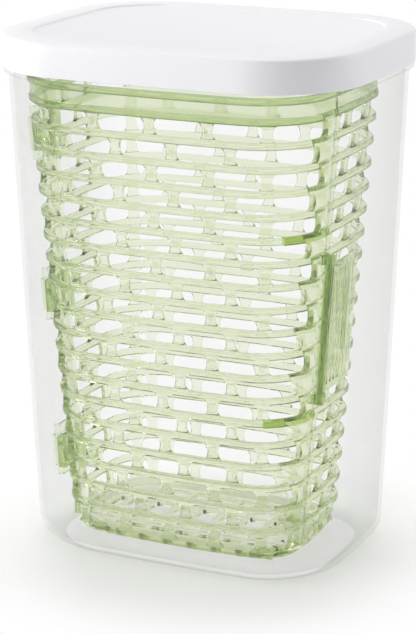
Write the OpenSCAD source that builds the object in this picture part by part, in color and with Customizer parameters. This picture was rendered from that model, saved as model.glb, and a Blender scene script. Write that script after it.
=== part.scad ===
// Upright produce keeper: a clear container, a hinged slotted basket that stands
// inside it, and a white lid with a humidity vent and a carbon filter underneath.
// Millimetres, +Z up, origin on the resting surface under the middle of the lid.

/* [Container] */
// Width of the container wall at its flange
tub_top_w = 189; // [185:1:205]
// Depth of the container wall at its flange
tub_top_d = 155; // [150:1:165]
// Width of the container wall at the base
tub_base_w = 177; // [172:1:182]
// Depth of the container wall at the base
tub_base_d = 128; // [122:1:135]
// Height of the flange's top face, where the lid sits
tub_h = 256.5; // [254:0.5:275]
// Thickness of the container wall
tub_wall = 2; // [1.5:0.1:2.5]
// Thickness of the container floor
tub_floor = 3; // [2:0.1:4]
// Radius of the upright corners
tub_corner_r = 41; // [34:1:42]
// Rounding of the bottom edge
tub_edge_r = 13.5; // [10:0.5:16]
// How far the sides of the container and lid bow out at their middles
side_bow = 2.8; // [2:0.1:5]
// Thickness of the flange under the lid
flange_t = 2.5; // [2:0.1:4]
// Overhang of the flange outside the wall
flange_out = 2.6; // [1.5:0.1:2.8]
// Height of the neck that stands inside the lid
neck_h = 10.5; // [9:0.1:11]
// Step from the wall in to the neck
neck_step = 0.4; // [0.2:0.1:0.6]
// Thickness of the neck
neck_t = 1.8; // [1.4:0.1:2.2]

/* [Lid] */
// Height of the lid over its skirt
lid_h = 17.5; // [16.5:0.1:22]
// Thickness of the lid skirt
lid_skirt_t = 2.5; // [2.2:0.1:3.5]
// Clearance between the neck and the lid skirt
lid_fit = 0.7; // [0.3:0.1:1]
// Thickness of the lid's top panel
lid_top_t = 2.2; // [1.8:0.1:3]
// Rounding of the lid's top edge
lid_edge_r = 2; // [1:0.1:2.2]
// Width of the rim round the lid's sunk panel
lid_rim_w = 15; // [10:0.5:20]
// Depth of the lid's sunk panel
lid_recess = 1; // [0.5:0.1:1.5]
// Height of the pan under the lid
liner_h = 9; // [8:0.1:10]
// Thickness of the pan's floor and wall
liner_t = 1.8; // [1.4:0.1:2.4]
// Gap between the pan and the neck, which the seal closes
liner_gap = 1; // [0.8:0.1:1.5]
// Clearance between the seal and the neck
seal_fit = 0.2; // [0.1:0.05:0.3]
// Height of the seal
seal_h = 3.2; // [2:0.1:4]
// Depth of the seal's groove in the pan
seal_groove = 1.2; // [0.8:0.1:1.5]
// Width of the air holes over the filter
air_hole_w = 4; // [3:0.1:6]
// Spacing of the air holes over the filter
air_hole_pitch = 9; // [7:0.5:10]
// Number of air holes each way
air_holes = 5; // [3:1:5]

/* [Vent] */
// Place of the vent's middle across the lid
vent_x = -48; // [-56:1:-44]
// Length of each vent slot
vent_slot_l = 12; // [8:0.5:14]
// Width of each vent slot
vent_slot_w = 5.2; // [3:0.1:5.4]
// Spacing of the vent slots
vent_pitch = 12; // [11.6:0.1:13]
// Number of vent slots
vent_slots = 3; // [2:1:3]
// Thickness of the vent slider
slider_t = 1.5; // [1.2:0.1:2]
// Width of the vent slider
slider_w = 18; // [16.5:0.5:20]
// Running clearance of the vent slider
slider_fit = 0.3; // [0.2:0.05:0.4]
// Thickness of the rails that hold the vent slider
rail_t = 1.6; // [1.2:0.1:2]
// Reach of the rails under the slider
rail_lip = 1.4; // [1:0.1:1.8]
// Height of the finger bar under the slider
knob_h = 4; // [3:0.1:5]
// Width of the finger bar under the slider
knob_w = 4; // [3:0.1:5]

/* [Filter] */
// Place of the filter's middle across the lid
filter_x = 26; // [22:1:32]
// Side of the filter tray
tray_w = 66; // [60:1:70]
// Height of the filter tray
tray_h = 8; // [7:0.1:8.4]
// Thickness of the tray's walls
tray_t = 1.6; // [1.4:0.1:2]
// Reach of the ledge that carries the filter pouch
tray_ledge = 2; // [1.5:0.1:3]
// Thickness of that ledge
tray_ledge_t = 1; // [0.8:0.1:1.4]
// Thickness of the filter pouch
pouch_t = 5; // [4:0.1:5.4]
// Clearance round the filter pouch
pouch_gap = 0.6; // [0.4:0.1:1]
// Thickness of the filter cover
cover_t = 1.5; // [1.2:0.1:1.6]
// Clearance between the filter cover and the tray
cover_fit = 0.3; // [0.2:0.05:0.4]
// Width of the slots in the filter cover
cover_slot_w = 3; // [2:0.1:3.4]
// Spacing of the slots in the filter cover
cover_pitch = 6; // [5.6:0.1:8]
// Diameter of the filter cover's hinge pin
cover_pin_d = 2; // [1.6:0.1:2.2]
// Length of the filter cover's hinge barrel
cover_barrel_l = 40; // [30:1:44]
// Length of each ear that holds the hinge pin
cover_ear_l = 5; // [4:0.5:7]
// Width of the snap tab on the filter cover
tab_w = 10; // [6:0.5:16]
// Height of the snap tab
tab_h = 5; // [3:0.1:6]
// Thickness of the snap tab
tab_t = 1.4; // [1:0.1:2]

/* [Basket] */
// Room on each side between the basket's rim and the container's flange
basket_room_w = 10.8; // [10.5:0.1:16]
// Room in front and behind between the basket's rim and the container's flange
basket_room_d = 10.7; // [10.5:0.1:16]
// Width of the basket at its base
basket_base_w = 135; // [130:1:138]
// Depth of the basket at its base
basket_base_d = 88; // [84:1:92]
// How far the basket's rim stays below the flange's top
basket_drop = 4.5; // [4.2:0.1:24]
// Radius of the basket's corners at the rim
basket_corner_r = 31; // [26:1:34]
// Radius of the basket's corners at the base
basket_base_r = 19; // [17:1:22]
// How far the basket's sides bow out at their middles
basket_bow = 3.6; // [2:0.1:4.2]
// How far the basket stands to the side of the container's middle
basket_dx = -2.5; // [-2.5:0.1:0]
// How far the basket stands in front of the container's middle
basket_dy = -1.7; // [-1.7:0.1:0]
// Number of courses of slots
courses = 19; // [12:1:20]
// Height of a hoop
hoop_h = 3.4; // [3:0.1:4.4]
// Depth of a hoop, from the outside in
hoop_depth = 4; // [3.4:0.1:5]
// Drop from the rim to the middle of the first hoop
band_h = 11.8; // [7:0.1:12]
// Height of the bottom hoop
base_h = 5.8; // [5:0.1:6.4]
// Height of the basket's rim strip
rim_h = 3.4; // [1.6:0.1:3.6]
// Height of the feet
foot_h = 3.2; // [2:0.1:4]
// How far the door's feet clear the container's floor, so that the door can swing
door_foot_gap = 0.3; // [0.2:0.05:0.5]
// Side of each foot
foot_w = 8; // [6:0.5:10]
// Set-in of each foot's middle from the sides of the bottom hoop
foot_set = 15; // [14:0.5:20]
// How far the bottom hoop draws in under the others
base_inset = 4; // [2:0.5:6]
// Thickness of the basket's floor
floor_t = 2.2; // [1.6:0.1:3]
// Width of the bars in the basket's floor
floor_bar = 4; // [3:0.5:6]
// Spacing of the slots in the basket's floor
floor_pitch = 14; // [11:0.5:18]
// Width of a post between two slots
post_w = 6; // [4:0.5:8]
// Thickness of a post
post_t = 2.2; // [1.6:0.1:2.4]
// Set-back of a post behind the face of its hoop
post_back = 1; // [0.8:0.1:1.4]
// Number of posts along a long wall in every second course
post_count = 5; // [5:2:7]
// Distance of the last of them from the basket's side at the rim
post_end = 20; // [18:0.5:24]
// Shift of the posts from one course to the next
post_shift = 12; // [8:0.5:16]
// Width of the solid wall beside the seam on the door
seam_block_w = 10; // [7:0.5:14]
// How much wider that wall is in every second course
seam_block_step = 7; // [0:0.5:9]
// Place of the seam between the basket's door and back
seam_y = -20; // [-22:0.5:-17]
// Gap at the seam
seam_gap = 0.4; // [0.3:0.05:0.6]

/* [Hinges] */
// Place of the door's hinge line
hinge_y = -29; // [-32:0.5:-28]
// Height of the lowest hinge's middle above the feet
hinge_low = 42.5; // [36:0.5:52]
// Drop from the basket's rim to the highest hinge's middle
hinge_drop = 34.5; // [31:0.5:45]
// Height of a hinge bar
bar_h = 28; // [24:1:30]
// Diameter of a hinge bar
bar_d = 2.6; // [2:0.1:3]
// Running clearance of a hinge clip on its bar
bar_fit = 0.05; // [0.02:0.01:0.1]
// Height of a hinge clip
clip_h = 17; // [12:0.5:17.5]
// Thickness of a hinge clip
clip_t = 1; // [0.8:0.1:1.2]
// Stand-off of the hinge seats outside the basket's wall
seat_out = 0.55; // [0.5:0.05:0.8]
// Clearance between a hinge bar's arms and what they pass
arm_fit = 0.5; // [0.3:0.1:0.6]
// Thickness of a hinge bar's plate
plate_t = 1.6; // [1.4:0.1:2]
// Width of a hinge bar's plate behind the seam
plate_w = 9; // [7:0.5:12]
// Width of a hinge clip's seat on the door
seat_w = 10; // [6:0.5:12]
// How far a seat stops short of the basket's inside
seat_short = 0.6; // [0.4:0.1:1]

/* [Latch] */
// Height of the latch's middle above the feet
latch_z = 127; // [110:1:140]
// Height of the latch plate
latch_h = 68; // [50:1:76]
// Reach of the latch plate behind its pin
latch_reach = 36; // [31:0.5:38]
// Thickness of the latch plate
latch_t = 1.6; // [1.4:0.1:2]
// Set-back of the latch pin from the seam
latch_set = 4.5; // [4.2:0.1:6]
// Diameter of the latch pin
latch_pin_d = 2.2; // [1.8:0.1:2.4]
// Thickness of the barrel round the latch pin
latch_barrel_t = 1.2; // [1:0.1:1.4]
// End clearance of the latch between its ears
latch_fit = 0.3; // [0.2:0.05:0.5]
// Height of the ears that hold the latch pin
ear_h = 5; // [4:0.5:8]
// Width of the catch that holds the latch
catch_w = 3; // [2:0.1:4]
// Free play of the latch's lip behind the catch
latch_play = 4.6; // [4.4:0.1:5]
// Width of the latch's lip
lip_w = 2; // [1.6:0.1:2.4]

/* [Hidden] */
$fn = 32;
// Steps along each corner and side of the smooth shells
shell_corner_steps = 8;
shell_side_steps = 6;
// Steps along each corner and side of the basket's hoops
hoop_corner_steps = 4;
hoop_side_steps = 4;
// Steps round the container's bottom edge and the lid's top edge
edge_steps = 5;
// How far posts and braces reach into what they join
bite = 1;
// Size of the blocks that cut the basket at its seam
cut_size = 400;

// Heights and outlines of the lid
lid_z = tub_h + lid_h;
lid_under_z = lid_z - lid_recess - lid_top_t;
lid_grow = lid_fit + lid_skirt_t - neck_step;
liner_z = lid_under_z - liner_h;
neck_inset = neck_step + neck_t;
liner_inset = neck_inset + liner_gap;
seal_z = liner_z + liner_t;
// Vent
slider_l = vent_pitch * (vent_slots + 1);
slider_z = liner_z - slider_fit - slider_t;
rail_z = slider_z - slider_fit - rail_t;
rail_y = slider_w / 2 + slider_fit;
vent_travel = vent_pitch / 2;
// Filter
tray_z = liner_z - tray_h;
cover_z = tray_z - cover_fit - cover_t;
barrel_r = cover_pin_d / 2 + cover_fit + cover_t / 2;
pin_y = -tray_w / 2 - barrel_r - cover_fit;
pin_z = cover_z + barrel_r;
ear_clear = barrel_r + 2 * cover_fit;
// Basket
basket_top_w = tub_top_w - 2 * basket_room_w;
basket_top_d = tub_top_d - 2 * basket_room_d;
foot_z = tub_floor;
base_z = foot_z + foot_h;
rim_z = tub_h - basket_drop;
first_z = rim_z - band_h;
base_mid_z = base_z + base_h / 2;
last_z = base_z + base_h - hoop_h / 2;
hoop_pitch = (first_z - last_z) / courses;
post_pitch = (basket_top_w - 2 * post_end) / (post_count - 1);
// The front and rear panels end between two posts, where the corner panels begin
panel_x = post_pitch * (post_count - 3) / 2 + post_shift / 2;
// The back part's side panels end between their last posts and the corner posts
last_post_y = lerp(seam_y + post_w, basket_top_d / 2 - basket_corner_r, 0.75);
corner_post_y = basket_base_d / 2 - basket_bow - basket_base_r * (1 - sqrt(0.5));
back_cut_share = 0.35;
back_cut_y = lerp(last_post_y, corner_post_y, back_cut_share);
side_lean = atan((basket_top_w - basket_base_w) / 2 / (rim_z - base_z));
// Hinges: seats, arms and the axis stand off the basket's wall line
hoop_proud = hoop_h * tan(side_lean);
clip_r = bar_d / 2 + bar_fit + clip_t;
axis_out = seat_out + clip_r;
arm_in = hoop_proud + arm_fit;
arm_h = (bar_h - clip_h) / 2 - arm_fit;
seat_in = seat_short - hoop_depth;
hinge_pitch = (rim_z - foot_z - hinge_low - hinge_drop) / 2;
// Latch
latch_barrel_r = latch_pin_d / 2 + bar_fit + latch_barrel_t;
latch_out = arm_in + latch_barrel_r;
latch_y = seam_y - latch_set;
catch_y = latch_y + latch_reach - lip_w - latch_play - catch_w;
latch_face = latch_out - latch_t / 2;
catch_out = latch_face - arm_fit;

function lerp(a, b, t) = a + (b - a) * t;
function sign_of(v) = v < 0 ? -1 : 1;

// Points of one rounded corner, quarter q, of a box with half sizes a and b
function corner_arc(q, a, b, r, steps) =
  let (middle = [(q == 0 || q == 3 ? 1 : -1) * (a - r), (q < 2 ? 1 : -1) * (b - r)])
  [for (i = [0:steps])
    let (angle = 90 * q + 90 * i / steps) middle + r * [cos(angle), sin(angle)]];

// A point of that box moved out where its side bows
function bowed(p, a, b, bow) = [
  p.x + bow * (1 - pow(p.y / b, 2)) * pow(abs(p.x / a), 3) * sign_of(p.x),
  p.y + bow * (1 - pow(p.x / a, 2)) * pow(abs(p.y / b), 3) * sign_of(p.y)];

// A rounded rectangle with bowed sides, w by d over the bows
function outline(w, d, r, bow, corner_steps, side_steps) =
  let (a = w / 2 - bow,
       b = d / 2 - bow,
       arcs = [for (q = [0:3]) corner_arc(q, a, b, r, corner_steps)])
  [for (q = [0:3]) each concat(
    [for (p = arcs[q]) bowed(p, a, b, bow)],
    [for (i = [1:side_steps - 1])
      bowed(lerp(arcs[q][corner_steps], arcs[(q + 1) % 4][0], i / side_steps), a, b, bow)])];

// One closed surface through a list of [outline, height] rings of equal count,
// which ends in flat caps or runs on from the last ring to the first
module loft(rings, capped) {
  n = len(rings[0][0]);
  count = len(rings);
  last = count - 1;
  points = [for (ring = rings) for (p = ring[0]) [p.x, p.y, ring[1]]];
  sides = [for (k = [0:capped ? last - 1 : last]) for (i = [0:n - 1])
    let (j = (i + 1) % n, next = (k + 1) % count)
    each [[k * n + i, next * n + i, next * n + j], [k * n + i, next * n + j, k * n + j]]];
  caps = [[for (i = [0:n - 1]) i], [for (i = [n - 1:-1:0]) last * n + i]];
  polyhedron(points, capped ? concat(sides, caps) : sides);
}

// The container's outline at a height, drawn in by an inset
function tub_outline(z, inset) =
  outline(lerp(tub_base_w, tub_top_w, z / tub_h) - 2 * inset,
    lerp(tub_base_d, tub_top_d, z / tub_h) - 2 * inset,
    tub_corner_r - inset, side_bow, shell_corner_steps, shell_side_steps);

// The outline of the flat floor inside the rounded bottom edge
function floor_outline() = tub_outline(0, tub_edge_r);

// The outline of what sits in or over the neck, drawn in from the wall at the flange
function neck_outline(inset) = tub_outline(tub_h, inset);

// A flat plate of that outline
module neck_plate(inset, z, h) {
  translate([0, 0, z])
    linear_extrude(h)
      polygon(neck_outline(inset));
}

module container() {
  inner_r = tub_edge_r - tub_wall;
  flange_z = tub_h - flange_t;
  outer = concat(
    [for (i = [0:edge_steps])
      let (angle = 90 * i / edge_steps, z = tub_edge_r * (1 - cos(angle)))
      [tub_outline(z, tub_edge_r * (1 - sin(angle))), z]],
    [[tub_outline(flange_z, 0), flange_z],
     [neck_outline(-flange_out), flange_z],
     [neck_outline(-flange_out), tub_h],
     [neck_outline(neck_step), tub_h],
     [neck_outline(neck_step), tub_h + neck_h]]);
  inner = concat(
    [[neck_outline(neck_inset), tub_h + neck_h],
     [tub_outline(flange_z, tub_wall), flange_z]],
    [for (i = [edge_steps:-1:1])
      let (angle = 90 * i / edge_steps, z = tub_floor + inner_r * (1 - cos(angle)))
      [tub_outline(z, tub_wall + inner_r * (1 - sin(angle))), z]],
    [[floor_outline(), tub_floor]]);
  color([0.93, 0.94, 0.94, 0.35])
    loft(concat(outer, inner), false);
}

// The flat floor inside the container's rounded bottom edge
module container_floor() {
  color([0.93, 0.94, 0.94, 0.35])
    linear_extrude(tub_floor)
      polygon(floor_outline());
}

module lid_shell() {
  rim_inset = lid_rim_w - lid_grow;
  rounding = [for (i = [0:edge_steps])
    let (angle = 90 * i / edge_steps)
    [neck_outline(lid_edge_r * (1 - cos(angle)) - lid_grow), lid_z - lid_edge_r * (1 - sin(angle))]];
  color([0.95, 0.95, 0.96])
    loft(concat(
      [[neck_outline(lid_skirt_t - lid_grow), lid_under_z],
       [neck_outline(lid_skirt_t - lid_grow), tub_h],
       [neck_outline(-lid_grow), tub_h]],
      rounding,
      [[neck_outline(rim_inset), lid_z],
       [neck_outline(rim_inset + lid_recess), lid_z - lid_recess]]), true);
}

// The vent's row of slots, shifted along the lid
module vent_row(shift, z, h) {
  for (i = [0:vent_slots - 1])
    translate([vent_x + shift + (i - (vent_slots - 1) / 2) * vent_pitch - vent_slot_w / 2,
        -vent_slot_l / 2, z])
      cube([vent_slot_w, vent_slot_l, h]);
}

// The frame that holds the vent slider, with lips under its edges and a stop at each end
module vent_frame() {
  room_x = vent_x - slider_l / 2 - slider_fit;
  room_l = slider_l + vent_travel + 2 * slider_fit;
  difference() {
    translate([room_x - rail_t, -rail_y - rail_t, rail_z])
      cube([room_l + 2 * rail_t, 2 * (rail_y + rail_t), liner_z - rail_z + bite]);
    translate([room_x, -rail_y, slider_z - slider_fit])
      cube([room_l, 2 * rail_y, liner_z - slider_z + 2 * bite]);
    translate([room_x, rail_lip - rail_y, rail_z - bite])
      cube([room_l, 2 * (rail_y - rail_lip), rail_t + 2 * bite]);
  }
}

module lid_liner() {
  groove_top = lid_under_z - seal_z - seal_h;
  color([0.93, 0.94, 0.94])
    union() {
      difference() {
        union() {
          neck_plate(liner_inset, liner_z, liner_t);
          neck_plate(liner_inset + seal_groove, seal_z, seal_h);
          neck_plate(liner_inset, seal_z + seal_h, groove_top);
        }
        neck_plate(liner_inset + seal_groove + liner_t, seal_z, liner_h);
        vent_row(0, liner_z - bite, liner_t + 2 * bite);
        for (i = [0:air_holes - 1], j = [0:air_holes - 1])
          translate([filter_x + (i - (air_holes - 1) / 2) * air_hole_pitch - air_hole_w / 2,
              (j - (air_holes - 1) / 2) * air_hole_pitch - air_hole_w / 2, liner_z - bite])
            cube([air_hole_w, air_hole_w, liner_t + 2 * bite]);
      }
      vent_frame();
    }
}

module lid_seal() {
  color([0.82, 0.84, 0.84])
    difference() {
      neck_plate(neck_inset + seal_fit, seal_z, seal_h);
      neck_plate(liner_inset + seal_groove, seal_z - bite, seal_h + 2 * bite);
    }
}

module vent_slider() {
  color([0.62, 0.76, 0.42])
    difference() {
      union() {
        translate([vent_x - slider_l / 2, -slider_w / 2, slider_z])
          cube([slider_l, slider_w, slider_t]);
        translate([vent_x - slider_l / 2 + bite, -vent_slot_l / 2, slider_z - knob_h])
          cube([knob_w, vent_slot_l, knob_h + bite / 2]);
      }
      vent_row(-vent_travel, slider_z - bite, slider_t + 2 * bite);
    }
}

module filter_tray() {
  inner_w = tray_w - 2 * tray_t;
  hole_w = inner_w - 2 * tray_ledge;
  ear_x = cover_barrel_l / 2 + cover_fit;
  color([0.93, 0.94, 0.94])
    translate([filter_x, 0, 0])
      difference() {
        union() {
          translate([-tray_w / 2, -tray_w / 2, tray_z])
            cube([tray_w, tray_w, tray_h]);
          for (side = [-1, 1])
            translate([side * (ear_x + cover_ear_l / 2) - cover_ear_l / 2, pin_y - barrel_r,
                pin_z - barrel_r])
              cube([cover_ear_l, -tray_w / 2 - pin_y + barrel_r + bite, 2 * barrel_r]);
        }
        translate([-inner_w / 2, -inner_w / 2, tray_z + tray_ledge_t])
          cube([inner_w, inner_w, tray_h]);
        translate([-hole_w / 2, -hole_w / 2, tray_z - bite])
          cube([hole_w, hole_w, tray_h]);
        translate([-tray_w, pin_y, pin_z])
          rotate([0, 90, 0])
            cylinder(d = cover_pin_d + 2 * bar_fit, h = 2 * tray_w);
      }
}

module filter_pouch() {
  pouch_w = tray_w - 2 * tray_t - 2 * pouch_gap;
  color([0.25, 0.26, 0.26])
    translate([filter_x - pouch_w / 2, -pouch_w / 2, tray_z + tray_ledge_t])
      cube([pouch_w, pouch_w, pouch_t]);
}

module filter_cover() {
  plate_y = ear_clear - tray_w / 2;
  slot_l = tray_w - 2 * ear_clear - 6 * tray_t;
  slots = floor((tray_w - cover_pitch) / cover_pitch);
  color([0.62, 0.76, 0.42])
    translate([filter_x, 0, 0])
      difference() {
        union() {
          translate([-tray_w / 2, plate_y, cover_z])
            cube([tray_w, tray_w / 2 - plate_y, cover_t]);
          translate([-cover_barrel_l / 2, pin_y, cover_z])
            cube([cover_barrel_l, plate_y - pin_y + bite, cover_t]);
          translate([-cover_barrel_l / 2, pin_y, pin_z])
            rotate([0, 90, 0])
              cylinder(r = barrel_r, h = cover_barrel_l);
          translate([-tab_w / 2, tray_w / 2 - bite, cover_z])
            cube([tab_w, bite + cover_fit + tab_t, cover_t]);
          translate([-tab_w / 2, tray_w / 2 + cover_fit, cover_z])
            cube([tab_w, tab_t, tab_h]);
        }
        translate([-tray_w, pin_y, pin_z])
          rotate([0, 90, 0])
            cylinder(d = cover_pin_d + 2 * bar_fit, h = 2 * tray_w);
        for (i = [0:slots - 1])
          translate([(i - (slots - 1) / 2) * cover_pitch - cover_slot_w / 2, -slot_l / 2, cover_z - bite])
            cube([cover_slot_w, slot_l, cover_t + 2 * bite]);
      }
}

module filter_cover_pin() {
  pin_l = cover_barrel_l + 2 * (cover_fit + cover_ear_l);
  color([0.8, 0.81, 0.82])
    translate([filter_x - pin_l / 2, pin_y, pin_z])
      rotate([0, 90, 0])
        cylinder(d = cover_pin_d, h = pin_l);
}

// Sizes of the basket at a height
function basket_share(z) = (z - base_z) / (rim_z - base_z);
function basket_w(z) = lerp(basket_base_w, basket_top_w, basket_share(z));
function basket_d(z) = lerp(basket_base_d, basket_top_d, basket_share(z));
function hoop_z(k) = first_z - k * hoop_pitch;
function basket_r(z) = lerp(basket_base_r, basket_corner_r, basket_share(z));
function basket_outline(z, inset) =
  outline(basket_w(z) - 2 * inset, basket_d(z) - 2 * inset, basket_r(z) - inset,
    basket_bow, hoop_corner_steps, hoop_side_steps);

// The plan on one side of the seam and away from it: the door's in front, the back part's behind
module seam_side(front, away) {
  edge = seam_gap / 2 + away;
  intersection() {
    children();
    translate([-cut_size / 2, front ? seam_y - edge - cut_size : seam_y + edge])
      square(cut_size);
  }
}

// All that lies to the right of a place across, or between it and its mirror image
module strip(part, edge_x) {
  translate([part == 0 ? -edge_x : edge_x, -cut_size])
    square([part == 0 ? 2 * edge_x : cut_size, 2 * cut_size]);
}

// All that lies beside, or in front of, an upright plane through the middle of the door's right corner
module beside_corner(side) {
  corner_x = basket_base_w / 2 - basket_bow - basket_base_r;
  corner_y = basket_base_d / 2 - basket_bow - basket_base_r;
  translate([corner_x, -corner_y])
    rotate(-45)
      translate([-cut_size, side ? 0 : -cut_size])
        square([2 * cut_size, cut_size]);
}

// All that lies in front of, or behind, a line across the back part between its side and corner posts
module beside_posts(side) {
  translate([-cut_size / 2, side ? back_cut_y - cut_size : back_cut_y])
    square(cut_size);
}

// The plan of one panel at a height: 0 is the middle of a long wall, 1 and -1 the corners to its right and left,
// and 2 and -2 the sides beyond them.
// The edges beside the middle follow the posts, and stay upright above the first hoop
module panel_plan(front, part, z) {
  edge_x = panel_x * basket_w(min(z, first_z)) / basket_top_w;
  seam_side(front, 0)
    intersection() {
      children();
      mirror([part < 0 ? 1 : 0, 0])
        intersection() {
          strip(part, edge_x);
          if (part != 0)
            if (front)
              beside_corner(abs(part) == 2);
            else
              beside_posts(abs(part) == 2);
        }
    }
}

// A panel's share of a hoop or band
module hoop(front, part, z, h, inset, depth) {
  translate([0, 0, z])
    linear_extrude(h)
      panel_plan(front, part, z + h / 2)
        difference() {
          polygon(basket_outline(z + h / 2, inset));
          polygon(basket_outline(z + h / 2, inset + depth));
        }
}

// A post in plan, behind a point of the wall that faces along an angle
module post(at, angle, w, t) {
  translate(at)
    rotate(angle)
      translate([-post_back - t, -w / 2])
        square([t, w]);
}

// Distance of a wall from the middle at a place across it
function wall_reach(half, across, other_half) =
  half - basket_bow * pow(across / (other_half - basket_bow), 2);

// A place along a long wall and on into its corner of radius r: [across, out, turn]
function wall_place(along, half_w, half_d, r) =
  let (flat = half_w - basket_bow - r,
       turn = max(abs(along) - flat, 0) / r * 180 / PI,
       across = min(abs(along), flat) + r * sin(turn),
       out = wall_reach(half_d, across, half_w) - r * (1 - cos(turn)))
  [sign_of(along) * across, out, sign_of(along) * turn];

// The solid wall beside the seam on the door in plan, which follows the basket's corner
module seam_block(side, z, block_w, inner) {
  intersection() {
    difference() {
      polygon(basket_outline(z, post_back));
      polygon(basket_outline(z, inner));
    }
    translate([side > 0 ? 0 : -cut_size, seam_y - seam_gap / 2 - block_w])
      square([cut_size, block_w]);
  }
}

// The posts of one course in plan, at the height of its middle
module course_plan(front, k, z) {
  half_w = basket_w(z) / 2;
  half_d = basket_d(z) / 2;
  extra = k == courses - 1 ? base_inset : 0;
  scale_w = basket_w(z) / basket_top_w;
  odd = k % 2;
  flat_d = half_d - basket_r(z);
  facing = front ? -1 : 1;
  for (i = [0:post_count - 1 - odd])
    let (along = post_end - basket_top_w / 2 + i * post_pitch + odd * post_shift,
         place = wall_place(along * scale_w, half_w, half_d, basket_r(z)))
      post([place.x, facing * place.y], facing * (90 - place[2]), post_w, post_t + extra);
  for (side = [-1, 1])
    if (front)
      seam_block(side, z, seam_block_w + odd * seam_block_step, hoop_depth + extra);
    else {
      wall_angle = side > 0 ? 0 : 180;
      seam_mid = seam_y + (seam_gap + post_w) / 2;
      corner = basket_outline(z, 0)[floor(hoop_corner_steps / 2)];
      post([side * wall_reach(half_w, seam_mid, half_d), seam_mid], wall_angle, post_w, post_t + extra);
      post([side * corner.x, corner.y], 90 - side * 45, post_w, post_t + extra);
      for (i = [0:1 - odd])
        let (across = seam_y + post_w + (i + 0.5 + odd / 2) * (flat_d - seam_y - post_w) / 2)
          post([side * wall_reach(half_w, across, half_d), across], wall_angle, post_w, post_t + extra);
    }
}

// One panel of the basket's walls: hoops, the posts between them, the top band and the rim
module basket_panel(front, part) {
  for (k = [0:courses - 1])
    hoop(front, part, hoop_z(k) - hoop_h / 2, hoop_h, 0, hoop_depth);
  hoop(front, part, base_z, base_h, base_inset, hoop_depth);
  for (k = [0:courses - 1]) {
    low = hoop_z(k + 1) + hoop_h / 2 - bite;
    high = hoop_z(k) - hoop_h / 2 + bite;
    z = (low + high) / 2;
    translate([0, 0, low])
      linear_extrude(high - low)
        panel_plan(front, part, z)
          course_plan(front, k, z);
  }
  hoop(front, part, first_z, band_h - rim_h / 2, post_back, post_t);
  hoop(front, part, rim_z - rim_h, rim_h, 0, hoop_depth);
}

// Places of the two feet on one side of the seam
module at_feet(front) {
  foot_x = basket_base_w / 2 - base_inset - foot_set;
  foot_y = basket_base_d / 2 - base_inset - foot_set;
  for (side = [-1, 1])
    translate([side * foot_x, (front ? -1 : 1) * foot_y])
      children();
}

// The slots of the floor, which leave a rim along its edge and a pad over each foot
module floor_slots(front) {
  columns = ceil(basket_base_w / floor_pitch);
  slot_w = floor_pitch - floor_bar;
  slot_l = basket_base_d / 4 - floor_bar;
  seam_side(front, floor_bar)
    difference() {
      intersection() {
        polygon(basket_outline(base_mid_z, base_inset + hoop_depth + floor_bar));
        for (i = [-columns:columns], j = [-1, 0, 1])
          translate([i * floor_pitch - slot_w / 2, j * (slot_l + floor_bar) - slot_l / 2])
            square([slot_w, slot_l]);
      }
      at_feet(front)
        square(foot_w + 2 * floor_bar, center = true);
    }
}

// The slotted floor and its feet on one side of the seam
module floor_half(front) {
  foot_gap = front ? door_foot_gap : 0;
  translate([0, 0, base_z])
    linear_extrude(floor_t)
      difference() {
        seam_side(front, 0)
          polygon(basket_outline(base_mid_z, base_inset + hoop_depth));
        floor_slots(front);
      }
  at_feet(front)
    translate([-foot_w / 2, -foot_w / 2, foot_z + foot_gap])
      cube([foot_w, foot_w, foot_h - foot_gap + floor_t / 2]);
}

// Puts children on a side wall of the basket: +x outwards, z along the wall's lean
module on_side(side, z) {
  translate([side * basket_w(z) / 2, 0, z])
    mirror([side < 0 ? 1 : 0, 0, 0])
      rotate([0, side_lean, 0])
        children();
}

// Puts children at the basket's place in the container
module in_place() {
  translate([basket_dx, basket_dy, 0])
    children();
}

function hinge_z(i) = foot_z + hinge_low + i * hinge_pitch;

// The seats of the three hinges on the door or on the back part
module hinge_seats(front) {
  seat_h = front ? clip_h : bar_h;
  out = front ? seat_out : arm_in;
  w = front ? seat_w : plate_w;
  y = front ? hinge_y - seat_w / 2 : seam_y + seam_gap;
  for (i = [0:2])
    on_side(-1, hinge_z(i))
      translate([seat_in, y, -seat_h / 2])
        cube([out - seat_in, w, seat_h]);
}

module basket_back() {
  color([0.84, 0.91, 0.7, 0.85])
    in_place()
      basket_panel(false, 0);
}

module basket_corner_left() {
  color([0.84, 0.91, 0.7, 0.85])
    in_place()
      basket_panel(false, -1);
}

module basket_corner_right() {
  color([0.84, 0.91, 0.7, 0.85])
    in_place()
      basket_panel(false, 1);
}

module basket_left() {
  color([0.84, 0.91, 0.7, 0.85])
    in_place()
      union() {
        basket_panel(false, -2);
        hinge_seats(false);
      }
}

module basket_right() {
  color([0.84, 0.91, 0.7, 0.85])
    in_place()
      union() {
        basket_panel(false, 2);
        on_side(1, foot_z + latch_z)
          translate([seat_in, catch_y, -latch_h / 4])
            cube([arm_in - seat_in, catch_w, latch_h / 2]);
      }
}

module basket_floor() {
  color([0.84, 0.91, 0.7, 0.85])
    in_place()
      floor_half(false);
}

module basket_door() {
  color([0.8, 0.88, 0.64, 0.85])
    in_place()
      basket_panel(true, 0);
}

module door_corner_left() {
  color([0.8, 0.88, 0.64, 0.85])
    in_place()
      basket_panel(true, -1);
}

module door_corner_right() {
  color([0.8, 0.88, 0.64, 0.85])
    in_place()
      basket_panel(true, 1);
}

module door_left() {
  color([0.8, 0.88, 0.64, 0.85])
    in_place()
      union() {
        basket_panel(true, -2);
        hinge_seats(true);
      }
}

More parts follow.
